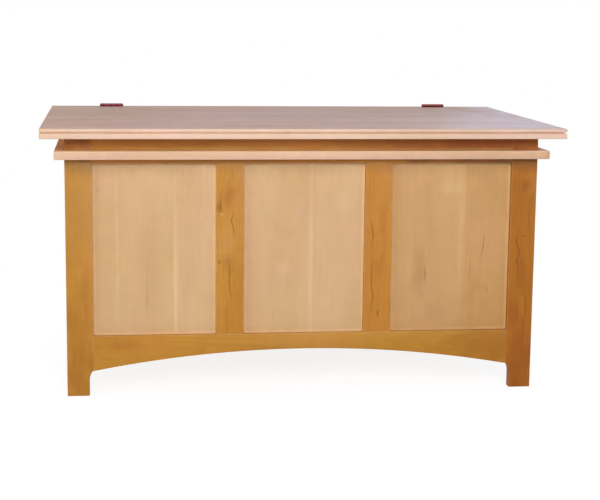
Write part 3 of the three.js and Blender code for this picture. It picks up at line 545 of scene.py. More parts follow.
# Marks on the front and the lid, as seen in the photo: colour, strength, place from the chest's middle and
# height above the floor, half size across and along the grain, and how far the mark wanders. Sizes in mm.
# On the lid the height gives way to the place from front to back.
FRONT_MARKS = {
    "front_left_panel": [
        ("pink", 0.3, (-384, 416), (34, 58), 5), ("dark", 0.22, (-400.8, 404), (1.3, 15), 0.5),
        ("pink", 0.35, (-386.5, 408), (6, 4), 0), ("pale", 0.16, (-364, 262), (6, 260), 0.3),
        ("olive", 0.16, (-350, 190), (7, 80), 1), ("tan", 0.3, (-308, 250), (44, 190), 4),
        ("pink", 0.16, (-322, 225), (20, 80), 3), ("olive", 0.4, (-307, 190), (4, 40), 0.5),
        ("gum", 0.16, (-306.5, 205), (1.4, 80), 0.8), ("pale", 0.26, (-252, 215), (7, 240), 0.4),
        # The wide pale mark at 170 mm high is painted light, and the tan mark at 420 mm painted shade,
        # which even out the panel's light from top to bottom
        ("pale", 0.1, (-305, 170), (150, 130), 5), ("tan", 0.28, (-222, 420), (52, 130), 5),
        # Painted shadow of the ledge along the top of the panel
        ("painted_ledge_shadow", 0.24, (-300, 452), (300, 28), 0),
    ],
    "front_center_panel": [
        ("pale", 0.26, (14, 283), (8, 420), 0.5), ("pale", 0.2, (-41, 248), (20, 22), 3),
        ("pale", 0.2, (74, 376), (27, 34), 4), ("pink", 0.28, (-72, 403), (26, 34), 5),
        ("pink", 0.26, (-12.6, 363), (20, 24), 4), ("gum", 0.3, (-60, 150), (1.4, 11), 0.4),
        ("tan", 0.12, (85, 142), (28, 36), 4), ("tan", 0.1, (-30, 300), (50, 120), 5),
        # The wide pale mark at 170 mm high is painted light, and the wide tan mark at 420 mm painted shade,
        # which even out the panel's light from top to bottom
        ("pale", 0.08, (0, 170), (150, 130), 5), ("tan", 0.2, (5, 420), (160, 130), 5),
        # Painted shadow of the ledge along the top of the panel
        ("painted_ledge_shadow", 0.24, (0, 452), (300, 28), 0),
    ],
    "front_right_panel": [
        ("tan", 0.4, (231, 240), (17, 70), 3), ("gum", 0.5, (244.5, 232), (1.6, 26), 1.2),
        ("gum", 0.55, (359, 290), (1.8, 38), 3), ("gum", 0.55, (371, 202), (1.8, 14), 1.2),
        ("tan", 0.35, (346, 205), (24, 44), 5), ("pale", 0.26, (290, 405), (36, 24), 5),
        ("tan", 0.28, (262, 150), (44, 34), 5), ("tan", 0.34, (338, 140), (16, 40), 3),
        ("gum", 0.35, (333, 244), (1.4, 34), 2), ("pale", 0.2, (314, 300), (8, 170), 1),
        # The tan mark at 420 mm high is painted shade, which evens out the panel's light from top to bottom
        ("olive", 0.3, (380, 140), (90, 130), 4), ("tan", 0.3, (360, 420), (60, 110), 4),
        # Painted shadow of the ledge along the top of the panel
        ("painted_ledge_shadow", 0.2, (300, 452), (300, 28), 0),
    ],
    "front_left_muntin": [
        ("knot", 0.45, (-165.5, 371), (7, 16), 1), ("dark", 0.34, (-171, 370), (2.6, 13), 0.4),
        ("pale", 0.3, (-163, 357), (4, 4), 0), ("dark", 0.6, (-166.8, 263), (3.2, 6.5), 0.3),
        ("gum", 0.5, (-141, 335), (2.6, 44), 3.6), ("gum", 0.44, (-147, 225), (2.8, 66), 3.8),
        ("gum", 0.3, (-152, 150), (2.6, 50), 3), ("russet", 0.34, (-149, 394), (20, 36), 5),
        ("russet", 0.3, (-146, 262), (16, 26), 5), ("gum", 0.3, (-141, 438), (2.2, 24), 2.4),
        ("pink", 0.1, (-150, 300), (26, 50), 5), ("russet", 0.12, (-150, 400), (60, 120), 5),
        # Painted shadow of the ledge along the top of the muntin
        ("painted_ledge_shadow", 0.34, (-150, 455), (200, 28), 0),
    ],
    "front_right_muntin": [
        ("gum", 0.5, (133, 318), (2.4, 44), 3.4), ("gum", 0.52, (134, 215), (2.6, 78), 3.6),
        ("gum", 0.3, (129, 130), (2.2, 40), 2.6), ("dark", 0.55, (147.6, 157), (2.4, 11), 0.3),
        ("russet", 0.26, (157, 330), (10, 95), 3), ("gum", 0.2, (128, 410), (1.8, 42), 1.8),
        ("gum", 0.36, (171, 160), (1.6, 44), 0.6), ("russet", 0.2, (150, 250), (22, 40), 5),
        # Painted shadow of the ledge along the top of the muntin
        ("painted_ledge_shadow", 0.32, (150, 455), (200, 28), 0),
    ],
    "front_right_leg": [
        ("russet", 0.5, (438, 30), (60, 170), 4), ("dark", 0.5, (429, 270), (2.2, 70), 4.2),
        ("russet", 0.35, (438, 244), (14, 50), 4), ("gum", 0.34, (441, 411), (13, 19), 3),
        ("pale", 0.3, (432, 185), (1.3, 7), 0.3), ("gum", 0.3, (441, 309), (9, 3), 0),
        ("dark", 0.6, (412.6, 445), (1.0, 11), 0), ("russet", 0.3, (425, 150), (14, 64), 4),
        ("gum", 0.4, (447, 170), (1.8, 80), 4), ("gum", 0.35, (446, 340), (1.6, 50), 4),
        # The russet mark at 498 mm high is painted shade on the leg above the ledge, where the lid's shadow
        # falls; the mark at 456 mm is painted shadow of the ledge
        ("russet", 0.45, (440, 498), (90, 24), 3), ("painted_ledge_shadow", 0.5, (440, 456), (200, 26), 0),
    ],
    "front_left_leg": [
        ("russet", 0.32, (-442, 6), (60, 130), 4), ("russet", 0.2, (-426, 211), (11, 85), 4),
        ("russet", 0.14, (-452, 120), (12, 60), 4), ("amber", 0.52, (-440, 110), (60, 190), 4),
        # The russet mark at 497 mm high and the knot-coloured mark at 499 mm are painted shade on the leg
        # above the ledge, where the lid's shadow falls; the mark at 456 mm on the next line is painted
        # shadow of the ledge
        ("olive", 0.45, (-440, 380), (60, 150), 4), ("russet", 0.62, (-440, 497), (90, 32), 3),
        ("knot", 0.22, (-440, 499), (120, 32), 3), ("painted_ledge_shadow", 0.5, (-440, 456), (200, 30), 0),
        ("russet", 0.07, (-440, 350), (60, 130), 4),
    ],
    "front_bottom_rail": [
        ("russet", 0.22, (-361, 102), (15, 80), 3), ("gum", 0.3, (-385, 73), (1.8, 28), 0.6),
        ("olive", 0.3, (276, 100), (12, 80), 3), ("russet", 0.24, (388, 78), (32, 64), 4),
        ("olive", 0.22, (-150, 105), (12, 70), 3), ("amber", 0.72, (400, 85), (90, 410), 5),
        ("russet", 0.14, (410, 100), (80, 160), 5), ("amber", 0.25, (-400, 100), (80, 160), 5),
        # The wide pale mark in the middle is painted light, which lifts the lower part of the front
        ("pale", 0.05, (0, 110), (60, 180), 5),
    ],
    "front_top_rail": [
        ("russet", 0.74, (330, 495), (60, 330), 5), ("gum", 0.3, (-210, 492), (2, 50), 1.5),
        # The two honey marks just above the ledge are painted light: the light that the ledge throws up
        # onto the foot of the neck
        ("honey", 0.5, (-200, 484), (5.5, 520), 0.2), ("honey", 0.45, (360, 483.5), (3.2, 420), 0.2),
        # Painted shadow of the ledge on the strip of rail that shows under it
        ("painted_ledge_shadow", 0.6, (400, 457), (9, 330), 0), ("painted_ledge_shadow", 0.16, (-150, 457), (9, 400), 0),
    ],
    "ledge_front": [
        ("tan", 0.3, (380, 473), (30, 330), 4), ("pink", 0.3, (-300, 473), (6, 120), 2),
        # The pale mark along the top edge is a painted highlight on the ledge's top arris and its top face
        ("pale", 0.75, (0, 481.5), (3.2, 1200), 0.2), ("olive", 0.4, (482, 472), (12, 18), 2),
    ],
    "lid": [
        ("tan", 0.22, (-400, 0), (500, 260), 5), ("tan", 0.16, (300, -322), (16, 330), 3),
        ("honey", 0.14, (-100, -322), (14, 900), 2), ("honey", 0.14, (-512, 0), (900, 14), 0),
        ("honey", 0.14, (512, 0), (900, 14), 0),
    ],
}


# Marks of the other pieces, written likewise but without a place
OWN_MARKS = {
    "cherry": (("gum", 0.45, 1.5, 50, 2), ("russet", 0.3, 12, 60, 3), ("dark", 0.6, 2.2, 5, 0.3)),
    "panel_maple": (("pale", 0.45, 4, 200, 0.4), ("pink", 0.4, 20, 40, 3), ("tan", 0.35, 16, 40, 3),
                    ("gum", 0.35, 1.2, 12, 0.5)),
    "top_maple": (("pink", 0.3, 20, 50, 2), ("gum", 0.25, 1, 12, 0.4)),
}
OWN_PLACE_REACH = 0.8
OWN_WIDEST_SHARE = 0.6
OWN_LENGTHS = (0.7, 1.3)


def own_marks(wood, order, half, chance):
    """A few marks for a piece that the photo doesn't show, in its wood space"""
    across, along = half[order[0]], half[order[2]]
    marks = []
    for colour, strength, wide, long, wave in OWN_MARKS[wood]:
        x = chance.uniform(-OWN_PLACE_REACH, OWN_PLACE_REACH) * across
        z = chance.uniform(-OWN_PLACE_REACH, OWN_PLACE_REACH) * along
        size = (min(wide * MM, OWN_WIDEST_SHARE * across), 1.0, long * MM * chance.uniform(*OWN_LENGTHS))
        marks.append((colour, strength, (x, 0.0, z), size, wave * MM))
    return marks


def front_marks(node, order, centre):
    """The marks of a front piece or the lid, moved from the chest's frame to the piece's wood space"""
    marks = []
    for colour, strength, (x, other), (wide, long), wave in FRONT_MARKS[node]:
        spot = (x * MM, other * MM, centre.z) if node == "lid" else (x * MM, centre.y, other * MM)
        away = Vector(spot) - centre
        place = (away[order[0]], 0.0, away[order[2]])
        marks.append((colour, strength, place, (wide * MM, 1.0, long * MM), wave * MM))
    return marks


# Painted light in strips round a panel, which lightens the shade of its recess along the frame: half width,
# strength, and a half length that runs past every panel
STRIP_WIDTH = 7.5 * MM
STRIP_STRENGTH = 0.55
ENDLESS = 3.0


def painted_light_strips(node, order, centre):
    """Strips of painted light round a panel, which lighten the shade that the frame casts into its recess
    """
    side = node.split("_")[0]
    across = order[0]
    uprights = [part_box(name) for name in frame["nodes"]
                if name.startswith(f"{side}_") and name.endswith(("_leg", "_muntin"))]
    edges = (max(high[across] for low, high in uprights if high[across] < centre[across]),
             min(low[across] for low, high in uprights if low[across] > centre[across]))
    ends = (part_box(f"{side}_bottom_rail")[1].z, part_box(f"{side}_top_rail")[0].z)
    strips = [((edge - centre[across], 0.0, 0.0), (STRIP_WIDTH, 1.0, ENDLESS)) for edge in edges]
    strips += [((0.0, 0.0, end - centre.z), (ENDLESS, 1.0, STRIP_WIDTH)) for end in ends]
    return [("painted_edge_light", STRIP_STRENGTH, place, size, 0.0) for place, size in strips]


def marks_of(node, wood, order, low, high, chance):
    """All marks of a piece, in the order in which they lie on each other"""
    centre = (low + high) / 2
    marks = front_marks(node, order, centre) if node in FRONT_MARKS else []
    if not marks or node == "lid":
        marks += own_marks(wood, order, (high - low) / 2, chance)
    # Panels also get strips of painted light along their edges
    if node.endswith("_panel"):
        marks += painted_light_strips(node, order, centre)
    return marks


def new_material(name):
    """A new material, its node tree, and the place on the piece that its patterns follow"""
    material = bpy.data.materials.new(name)
    material.use_nodes = True
    tree = material.node_tree
    return material, tree, tree.nodes.new("ShaderNodeTexCoord").outputs["Object"]


def join_finish(tree, colour, finish, bump, depth):
    """Leads a finish to the material's shader, with its height as a bump, and returns the shader"""
    shader = tree.nodes["Principled BSDF"]
    relief = tree.nodes.new("ShaderNodeBump")
    relief.inputs["Strength"].default_value = bump
    relief.inputs["Distance"].default_value = depth
    tree.links.new(finish["Height"], relief.inputs["Height"])
    tree.links.new(colour, shader.inputs["Base Color"])
    tree.links.new(finish["Roughness"], shader.inputs["Roughness"])
    tree.links.new(relief.outputs["Normal"], shader.inputs["Normal"])
    return shader


# Each piece has a seed, a number that sets its figure and its random marks. HEART_ASIDE is how far beside
# a board's middle the tree's heart may lie, and STRIP_SPREAD how much its strips may differ in colour.
SEED_STEPS = 1000
HEART_ASIDE = 25 * MM
HEART_TURN = 7.0
STRIP_SPREAD = 0.05
WOOD_BUMP_DEPTH = 0.4 * MM


def make_wood(node, wood, order, seed, tint=PLAIN, joints=(), tint_steps=None, warmth_steps=None):
    """The wood of one piece. joints lie across it, from its middle, and missing ones far away."""
    kind = WOODS[wood]
    chance = random.Random(int(seed * SEED_STEPS))
    material, tree, place = new_material(f"{wood} of {node}")
    low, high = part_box(node)
    here = vector_calc(tree, "SUBTRACT", place, tuple((low + high) / 2))
    axes = split(tree, here)
    grain = combine(tree, *(axes[i] for i in order))
    spread = STRIP_SPREAD if joints else 0.0
    tint_steps = tint_steps or tuple(chance.uniform(-spread, spread) for _ in range(3))
    warmth_steps = warmth_steps or tuple(chance.uniform(-spread, spread) for _ in range(3))
    boards = place_group(tree, GLUED_BOARDS, Vector=grain, Joints=(*joints, *FAR_AWAY)[:3],
                         Tint_steps=tint_steps, Warmth_steps=warmth_steps)
    figure = place_group(
        tree, WOOD_FIGURE, Vector=boards["Vector"], Seed=seed, Ring_spacing=kind["ring_spacing"],
        Heart_aside=HEART_ASIDE * math.sin(seed * HEART_TURN), Heart_depth=kind["heart_depth"],
        Wander=kind["wander"],
    )
    edges = place_group(tree, WORN_EDGES, Vector=here, Half_size=tuple((high - low) / 2))
    colours = {name.capitalize(): tinted(kind[name], tint) for name in ("light", "dark", "line")}
    shares = {name.capitalize(): kind[name] for name in kind if name.endswith("_share")}
    seen = {name: figure[name] for name in FIGURE}
    finish = place_group(
        tree, FINISHED_WOOD, **colours, **shares, **seen, Blush_colour=tinted(kind["blush"], tint),
        Tint=boards["Tint"], Warmth=boards["Warmth"], Seam=boards["Seam"], Wear=edges["Wear"],
        Border=edges["Border"], Roughness=kind["roughness"], Vector=here,
    )
    colour = finish["Color"]
    for name, strength, spot, size, wave in marks_of(node, wood, order, low, high, chance):
        mask = place_group(tree, WOOD_MARK, Vector=grain, Place=spot, Half_size=size, Wave=wave)["Mask"]
        colour = mix(tree, times(tree, mask, strength), colour, tinted(MARK_COLOURS[name], tint))
    shader = join_finish(tree, colour, finish, kind["bump"], WOOD_BUMP_DEPTH)
    shader.inputs["Specular IOR Level"].default_value = kind["specular"]
    return material


# Metals, by the record's slot: colours as screen values, and how fine the draw lines are along X, Y and Z
METALS = {
    "hinge_metal": {
        "clean": (134, 66, 70), "tarnish": (102, 54, 58), "bright": (190, 112, 98), "tarnish_share": 0.6,
        "roughness": 0.46, "draw": (70.0, 1500.0, 1500.0),
    },
    "stay_brass": {
        "clean": (206, 170, 98), "tarnish": (132, 98, 48), "bright": (236, 212, 150), "tarnish_share": 0.4,
        "roughness": 0.28, "draw": (1500.0, 80.0, 1500.0),
    },
}
METAL_BUMP = 0.15
METAL_BUMP_DEPTH = 0.1 * MM
NODE_WEAR_REACH = 0.8 * MM
SCREW_WEAR_REACH = 0.5 * MM


def make_metal(name, slot, low, high, reach):
    """The metal of one piece, whose box runs from low to high. reach is how far in its edges wear."""
    kind = METALS[slot]
    material, tree, place = new_material(f"{slot} of {name}")
    here = vector_calc(tree, "SUBTRACT", place, tuple((low + high) / 2))
    edges = place_group(tree, WORN_EDGES, Vector=here, Half_size=tuple((high - low) / 2), Reach=reach)
    colours = {name.capitalize(): srgb(*kind[name]) for name in ("clean", "tarnish", "bright")}
    surface = place_group(
        tree, AGED_METAL, **colours, Vector=place, Draw=kind["draw"], Tarnish_share=kind["tarnish_share"],
        Wear=edges["Wear"], Roughness=kind["roughness"],
    )
    shader = join_finish(tree, surface["Color"], surface, METAL_BUMP, METAL_BUMP_DEPTH)
    shader.inputs["Metallic"].default_value = 1.0
    return material


# Eased edges: widths, and in degrees the bend from which an edge counts as sharp
FRAME_EDGE = 0.3 * MM
METAL_EDGE = 0.2 * MM
SHARP_IN_WOOD = 30.0
SHARP_IN_METAL = 50.0
EDGE_SEGMENTS = 2
WELD_REACH = 0.01 * MM
FLAT_WITHIN = 0.2


def dress(node, material, edge, sharpest=SHARP_IN_WOOD):
    """Gives a CAD node its material and eased edges, and shades its round faces smooth"""
    piece = frame["nodes"][node]
    piece.data.materials.clear()
    piece.data.materials.append(material)
    piece.data.polygons.foreach_set("use_smooth", [True] * len(piece.data.polygons))
    weld = piece.modifiers.new("weld", "WELD")
    weld.merge_threshold = WELD_REACH
    flat = piece.modifiers.new("one face for each flat", "DECIMATE")
    flat.decimate_type = "DISSOLVE"
    flat.angle_limit = math.radians(FLAT_WITHIN)
    bevel = piece.modifiers.new("eased edges", "BEVEL")
    bevel.width = edge
    bevel.segments = EDGE_SEGMENTS
    bevel.limit_method = "ANGLE"
    bevel.angle_limit = math.radians(sharpest)
    bevel.harden_normals = True


# Cherry frames and maple panels

# How the colours of front pieces differ in the photo
FRONT_TINTS = {
    "front_left_leg": (0.96, 0.98, 0.96),
    "front_right_leg": (0.77, 0.6, 0.34),
    # The top rail's tint is painted shade: it darkens and reddens the rail, of which only the neck in the
    # lid's shadow and the strip under the ledge show
    "front_top_rail": (0.92, 0.83, 1.0),
    "front_right_muntin": (0.99, 0.97, 0.94),
    "front_bottom_rail": (0.95, 0.98, 0.86),
    "front_right_panel": (0.91, 0.83, 0.69),
}
# The grain of upright and of level pieces on each side
GRAIN_ORDERS = {
    "front": (UPRIGHT_FRONT, LEVEL_FRONT),
    "back": (UPRIGHT_FRONT, LEVEL_FRONT),
    "left": (UPRIGHT_END, LEVEL_END),
    "right": (UPRIGHT_END, LEVEL_END),
}
# Front panels: where their boards meet, in mm from the chest's middle, and the steps in tint and warmth
FRONT_BOARDS = {
    "front_left_panel": ((-359.5, -256, -248), (-0.03, 0.05, 0.0), (0.02, -0.04, -0.03)),
    "front_center_panel": ((20,), (0.01, 0.0, 0.0), (-0.03, 0.0, 0.0)),
    "front_right_panel": ((218, 323.7), (-0.01, -0.075, 0.0), (0.0, 0.1, 0.0)),
}
# The other panels: where their two joints lie, as shares of half the width, and how much that differs
JOINT_SHARES = (-0.4, 0.35)
JOINT_SWING_SHARE = 0.2
JOINT_TURNS = (5, 3)
FRAME_SEED_STEP = 0.613


def panel_joints(seed, half_width):
    """Where the boards of a panel meet that the photo doesn't show"""
    swings = (math.sin(seed * JOINT_TURNS[0]), math.cos(seed * JOINT_TURNS[1]))
    return [(share + JOINT_SWING_SHARE * swing) * half_width for share, swing in zip(JOINT_SHARES, swings)]


def dress_frames():
    seed = 0.0
    for node in frame["nodes"]:
        side = node.split("_")[0]
        if side not in GRAIN_ORDERS or "_hinge_" in node:
            continue
        seed += FRAME_SEED_STEP
        upright, level = GRAIN_ORDERS[side]
        low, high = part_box(node)
        tint = FRONT_TINTS.get(node, PLAIN)
        if node in FRONT_BOARDS:
            joints, *steps = FRONT_BOARDS[node]
            joints = [joint * MM - (low.x + high.x) / 2 for joint in joints]
            material = make_wood(node, "panel_maple", upright, seed, tint, joints, *steps)
        elif node.endswith("_panel"):
            joints = panel_joints(seed, (high - low)[upright[0]] / 2)
            material = make_wood(node, "panel_maple", upright, seed, joints=joints)
        else:
            order = upright if node.endswith(("_leg", "_muntin")) else level
            material = make_wood(node, "cherry", order, seed, tint)
        dress(node, material, FRAME_EDGE)


# The lid's tint is partly its own paler maple and partly painted light: the bluish light on its top is
# painted into the wood, so that it renders cooler and brighter than the other maple
LID_TINT_AND_PAINTED_BLUE_LIGHT = (1.12, 1.185, 1.38)
# Other pieces: wood, grain, seed, eased edge in mm, and where boards meet, as shares of half the width
TOP_PIECES = {
    "lid": ("top_maple", FLAT_ALONG_X, 2.3, 0.5, (-0.52, -0.05, 0.46)),
    "hinge_rail": ("top_maple", LEVEL_FRONT, 7.1, 0.5, ()),
    "ledge_front": ("top_maple", LEVEL_FRONT, 4.4, 1.4, ()),
    "ledge_left": ("top_maple", LEVEL_END, 5.2, 1.4, ()),
    "ledge_right": ("top_maple", LEVEL_END, 6.6, 1.4, ()),
    "lid_left_batten": ("cherry", FLAT_ALONG_Y, 8.3, 0.6, ()),
    "lid_right_batten": ("cherry", FLAT_ALONG_Y, 9.7, 0.6, ()),
    "floor_board": ("panel_maple", FLAT_ALONG_X, 3.9, 0.5, (-0.5, 0.0, 0.5)),
}


def dress_top_and_floor():
    for node, (wood, order, seed, edge, joint_shares) in TOP_PIECES.items():
        low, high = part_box(node)
        joints = [share * (high - low)[order[0]] / 2 for share in joint_shares]
        # The lid's tint holds painted bluish light as well as its own colour
        tint = LID_TINT_AND_PAINTED_BLUE_LIGHT if node == "lid" else PLAIN
        dress(node, make_wood(node, wood, order, seed, tint, joints), edge * MM)


def dress_metal():
    for node in frame["nodes"]:
        slot = "hinge_metal" if "_hinge_" in node else "stay_brass" if node.startswith("stay_") else None
        if slot:
            low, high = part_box(node)
            material = make_metal(node, slot, low, high, NODE_WEAR_REACH)
            dress(node, material, METAL_EDGE, SHARP_IN_METAL)


dress_frames()
dress_top_and_floor()
dress_metal()


# Screws that hold the cleats, the battens and the hinge leaves

# A screw's head and shank are radii, depth is that of its head, and slot is the slot's width
WOOD_SCREW = {"head": 3.6 * MM, "shank": 1.9 * MM, "depth": 2.2 * MM, "length": 28 * MM, "slot": 0.9 * MM}
LEAF_SCREW = {"head": 2.7 * MM, "shank": 1.4 * MM, "depth": 1.3 * MM, "length": 14 * MM, "slot": 0.7 * MM}
SCREW_SIDES = 28
HEAD_FACE_SHARE = 0.96
HEAD_RIM = 0.1 * MM
POINT_IN_SHANKS = 2
POINT_SHARE = 0.2
CUTTER_IN_HEADS = 3
# How the screws' slots are turned in a row, in radians: the first, and each from the one before it
FIRST_TURN = 0.7
NEXT_TURN = 1.9
FRONT_CLEAT_SCREWS = 4
END_CLEAT_SCREWS = 3
BATTEN_SCREWS = 4
LEAF_SCREWS = 3
LEAF_SEAM = 0.6 * MM


def screw_mesh(name, screw):
    """A slotted countersunk screw, its head's face at the origin, pointing along +Z"""
    tip = screw["length"] - POINT_IN_SHANKS * screw["shank"]
    profile = [(screw["head"] * HEAD_FACE_SHARE, 0.0), (screw["head"], HEAD_RIM),
               (screw["shank"], screw["depth"]), (screw["shank"], tip),
               (POINT_SHARE * screw["shank"], screw["length"])]
    turns = [2 * math.pi * i / SCREW_SIDES for i in range(SCREW_SIDES)]
    body = bmesh.new()
    rings = []
    for radius, height in profile:
        rings.append([body.verts.new((radius * math.cos(a), radius * math.sin(a), height)) for a in turns])
    for lower, upper in zip(rings, rings[1:]):
        for i in range(SCREW_SIDES):
            j = (i + 1) % SCREW_SIDES
            body.faces.new((lower[i], lower[j], upper[j], upper[i]))
    body.faces.new(list(reversed(rings[0])))
    body.faces.new(rings[-1])
    mesh = bpy.data.meshes.new(name)
    body.to_mesh(mesh)
    body.free()
    return cut_slot(mesh, screw)


def cut_slot(mesh, screw):
    """The screw's mesh with the slot cut across its head"""
    body = new_object("screw body", mesh)
    cutter_mesh = bpy.data.meshes.new("slot")
    shape = bmesh.new()
    bmesh.ops.create_cube(shape, size=1.0)
    cutter_size = (CUTTER_IN_HEADS * screw["head"], screw["slot"], screw["depth"])
    bmesh.ops.scale(shape, verts=shape.verts, vec=cutter_size)
    shape.to_mesh(cutter_mesh)
    shape.free()
    cutter = new_object("slot cutter", cutter_mesh)
    cut = body.modifiers.new("slot", "BOOLEAN")
    cut.operation = "DIFFERENCE"
    cut.object = cutter
    cut.solver = "EXACT"
    done = bpy.data.meshes.new_from_object(body.evaluated_get(bpy.context.evaluated_depsgraph_get()))
    for thing in (body, cutter):
        bpy.data.objects.remove(thing)
    return done


def place_screws(name, mesh, places, direction, body, slot):
    """One piece that holds a row of screws. direction is the way in which they are driven."""
    turn = Vector((0.0, 0.0, 1.0)).rotation_difference(direction).to_matrix().to_4x4()
    shape = bmesh.new()
    for count, place in enumerate(places):
        spin = Matrix.Rotation(FIRST_TURN + NEXT_TURN * count, 4, "Z")
        copy = mesh.copy()
        copy.transform(Matrix.Translation(place) @ turn @ spin)
        shape.from_mesh(copy)
        bpy.data.meshes.remove(copy)
    joined = bpy.data.meshes.new(name)
    shape.to_mesh(joined)
    shape.free()
    piece = new_object(name, joined)
    low, high = (Vector([end(v.co[i] for v in joined.vertices) for i in range(3)]) for end in (min, max))
    joined.materials.append(make_metal(name, slot, low, high, SCREW_WEAR_REACH))
    joined.polygons.foreach_set("use_smooth", [False] * len(joined.polygons))
    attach(piece, body)


def even_places(count, low, high):
    return [low + (high - low) * (i + 0.5) / count for i in range(count)]


def place_cleat_screws(screw):
    """Rows of screws along the cleats' inner faces, driven outwards into the rails"""
    inward = {"front": (1, 1), "back": (1, -1), "left": (0, 1), "right": (0, -1)}
    for side, (axis, sign) in inward.items():
        low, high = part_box(f"{side}_cleat")
        along = 1 - axis
        count = FRONT_CLEAT_SCREWS if along == 0 else END_CLEAT_SCREWS
        places = []
        for reach in even_places(count, low[along], high[along]):
            place = (low + high) / 2
            place[along] = reach
            place[axis] = high[axis] if sign > 0 else low[axis]
            places.append(place)
        driven = Vector(ZERO)
        driven[axis] = -sign
        place_screws(f"{side}_cleat_screws", screw, places, driven, "case", "stay_brass")


def place_batten_screws(screw):
    """Rows of screws along the battens' undersides, driven up into the lid"""
    for side in ("left", "right"):
        low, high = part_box(f"lid_{side}_batten")
        middle = (low.x + high.x) / 2
        places = [Vector((middle, y, low.z)) for y in even_places(BATTEN_SCREWS, low.y, high.y)]
        place_screws(f"lid_{side}_batten_screws", screw, places, Vector((0, 0, 1)), "lid", "stay_brass")


def place_leaf_screws(screw):
    """Rows of screws in the hinge leaves, driven from the seam between lid and hinge rail"""
    seam = next(joint for joint in frame["joints"] if joint["name"] == "lid_hinge")["pos_m"][1]
    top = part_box("hinge_rail")[1].z
    for side in ("left", "right"):
        for leaf, sign, body in (("rail", 1, "case"), ("lid", -1, "lid")):
            low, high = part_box(f"{side}_hinge_{leaf}_leaf")
            places = [Vector((x, seam + sign * LEAF_SEAM / 2, (low.z + top) / 2))
                      for x in even_places(LEAF_SCREWS, low.x, high.x)]
            name = f"{side}_hinge_{leaf}_screws"
            place_screws(name, screw, places, Vector((0, sign, 0)), body, "hinge_metal")


def make_screws():
    wood_screw = screw_mesh("wood screw", WOOD_SCREW)
    leaf_screw = screw_mesh("leaf screw", LEAF_SCREW)
    place_cleat_screws(wood_screw)
    place_batten_screws(wood_screw)
    place_leaf_screws(leaf_screw)
    for mesh in (wood_screw, leaf_screw):
        bpy.data.meshes.remove(mesh)


make_screws()


# Floor, light and background

# The floor glows white and keeps the chest's shadow. Up to FLOOR_NEAR metres from the chest, FLOOR_GLOW of
# what is seen is glow, and beyond FLOOR_FAR all of it is. FLOOR_LEVEL is how bright the lamps alone make
# the open floor, and the glow makes up what that lacks of white. FLOOR_BOUNCE is its colour on the chest.
FLOOR_SIZE = 60.0
FLOOR_NEAR = 0.1
FLOOR_FAR = 0.9
FLOOR_GLOW = 0.72
FLOOR_LEVEL = 0.55
FLOOR_BOUNCE = (0.78, 0.77, 0.75, 1.0)
FLOOR_ROUGHNESS = 0.9
FLOOR_SPECULAR = 0.1


def ray_shows_background(tree):
    """1 for what the camera sees, directly, in a reflection or through glass"""
    path = tree.nodes.new("ShaderNodeLightPath").outputs
    seen = calc(tree, "MAXIMUM", path["Is Camera Ray"], path["Is Glossy Ray"])
    return calc(tree, "MAXIMUM", seen, path["Is Transmission Ray"])


def blend_shaders(tree, share, first, second, output):
    """Mixes two shaders for the output. share is how much of the second is seen."""
    blend = tree.nodes.new("ShaderNodeMixShader")
    tree.links.new(share, blend.inputs["Fac"])
    tree.links.new(first, blend.inputs[1])
    tree.links.new(second, blend.inputs[2])
    tree.links.new(blend.outputs["Shader"], tree.nodes[output].inputs["Surface"])


def make_floor():
    mesh = bpy.data.meshes.new("floor")
    shape = bmesh.new()
    bmesh.ops.create_grid(shape, x_segments=1, y_segments=1, size=FLOOR_SIZE / 2)
    shape.to_mesh(mesh)
    shape.free()
    floor = new_object("floor", mesh)
    material, tree, place = new_material("pale floor")
    matt = tree.nodes["Principled BSDF"]
    path = tree.nodes.new("ShaderNodeLightPath").outputs
    tree.links.new(mix(tree, path["Is Camera Ray"], FLOOR_BOUNCE, WHITE), matt.inputs["Base Color"])
    matt.inputs["Roughness"].default_value = FLOOR_ROUGHNESS
    matt.inputs["Specular IOR Level"].default_value = FLOOR_SPECULAR
    footprint = (cad_high.x, cad_high.y, 0.0)
    beyond = vector_calc(tree, "SUBTRACT", vector_calc(tree, "ABSOLUTE", place), footprint)
    distance = vector_calc(tree, "LENGTH", vector_calc(tree, "MAXIMUM", beyond, ZERO))
    share = calc(tree, "MAXIMUM", ramp(tree, distance, FLOOR_NEAR, FLOOR_FAR), FLOOR_GLOW)
    lit = times(tree, minus(tree, 1.0, share), FLOOR_LEVEL)
    glow = tree.nodes.new("ShaderNodeEmission")
    tree.links.new(calc(tree, "DIVIDE", minus(tree, 1.0, lit), share), glow.inputs["Strength"])
    shown = times(tree, share, ray_shows_background(tree))
    blend_shaders(tree, shown, matt.outputs["BSDF"], glow.outputs["Emission"], "Material Output")
    mesh.materials.append(material)


# The room's light on the chest. Its walls turn to ceiling over CEILING_RANGE, where straight up is 1.
ROOM_LIGHT = 0.3
ROOM_COLOUR = (1.0, 0.985, 0.96, 1.0)
CEILING_LIGHT = 0.27
CEILING_COLOUR = (0.9, 0.87, 1.38, 1.0)
CEILING_RANGE = (0.15, 0.85)


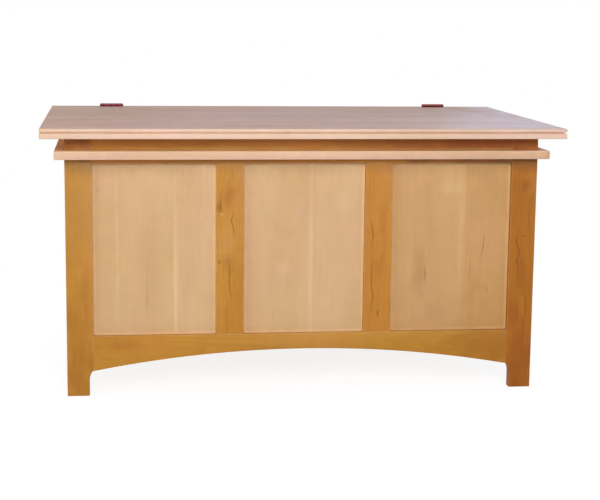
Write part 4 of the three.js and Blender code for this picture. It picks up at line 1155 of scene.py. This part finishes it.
def make_world():
    world = bpy.data.worlds.new("studio")
    scene.world = world
    world.use_nodes = True
    tree = world.node_tree
    around = tree.nodes["Background"]
    height = split(tree, tree.nodes.new("ShaderNodeTexCoord").outputs["Generated"])[2]
    overhead = ramp(tree, height, *CEILING_RANGE)
    level = minus(tree, ROOM_LIGHT, times(tree, overhead, ROOM_LIGHT - CEILING_LIGHT))
    tree.links.new(level, around.inputs["Strength"])
    tree.links.new(mix(tree, overhead, ROOM_COLOUR, CEILING_COLOUR), around.inputs["Color"])
    shown = tree.nodes.new("ShaderNodeBackground")
    shown.inputs["Color"].default_value = WHITE
    shown.inputs["Strength"].default_value = 1.0
    share = ray_shows_background(tree)
    blend_shaders(tree, share, around.outputs["Background"], shown.outputs["Background"], "World Output")


# Lamps: place, target, width and height, in metres, power in watts, and colour
CHEST_MIDDLE = (0.0, 0.0, 0.3)
LID_RIGHT = (0.3, 0.0, 0.5)
STUDIO_WHITE = (1.0, 0.985, 0.96)
WARM_WHITE = (1.0, 0.97, 0.93)
SKY_BLUE = (0.35, 0.62, 1.0)
LAMPS = {
    "key softbox": ((-0.5, -6.5, 3.15), CHEST_MIDDLE, (3.7, 2.7), 295.0, STUDIO_WHITE),
    "fill softbox": ((-3.0, -2.0, 1.2), CHEST_MIDDLE, (1.6, 1.6), 17.0, WARM_WHITE),
    "back window": ((2.4, 3.6, 1.2), LID_RIGHT, (2.4, 1.4), 50.0, SKY_BLUE),
    "left softbox": ((-4.4, 2.6, 0.55), CHEST_MIDDLE, (2.4, 1.0), 110.0, STUDIO_WHITE),
    "right softbox": ((4.4, 2.6, 0.55), CHEST_MIDDLE, (2.4, 1.0), 110.0, STUDIO_WHITE),
}


def make_lamps():
    for name, (place, target, (width, height), power, colour) in LAMPS.items():
        data = bpy.data.lights.new(name, "AREA")
        data.shape = "RECTANGLE"
        data.size = width
        data.size_y = height
        data.energy = power
        data.color = colour
        lamp = new_object(name, data)
        lamp.location = place
        lamp.rotation_euler = (Vector(target) - Vector(place)).to_track_quat("-Z", "Y").to_euler()


make_floor()
make_world()
make_lamps()
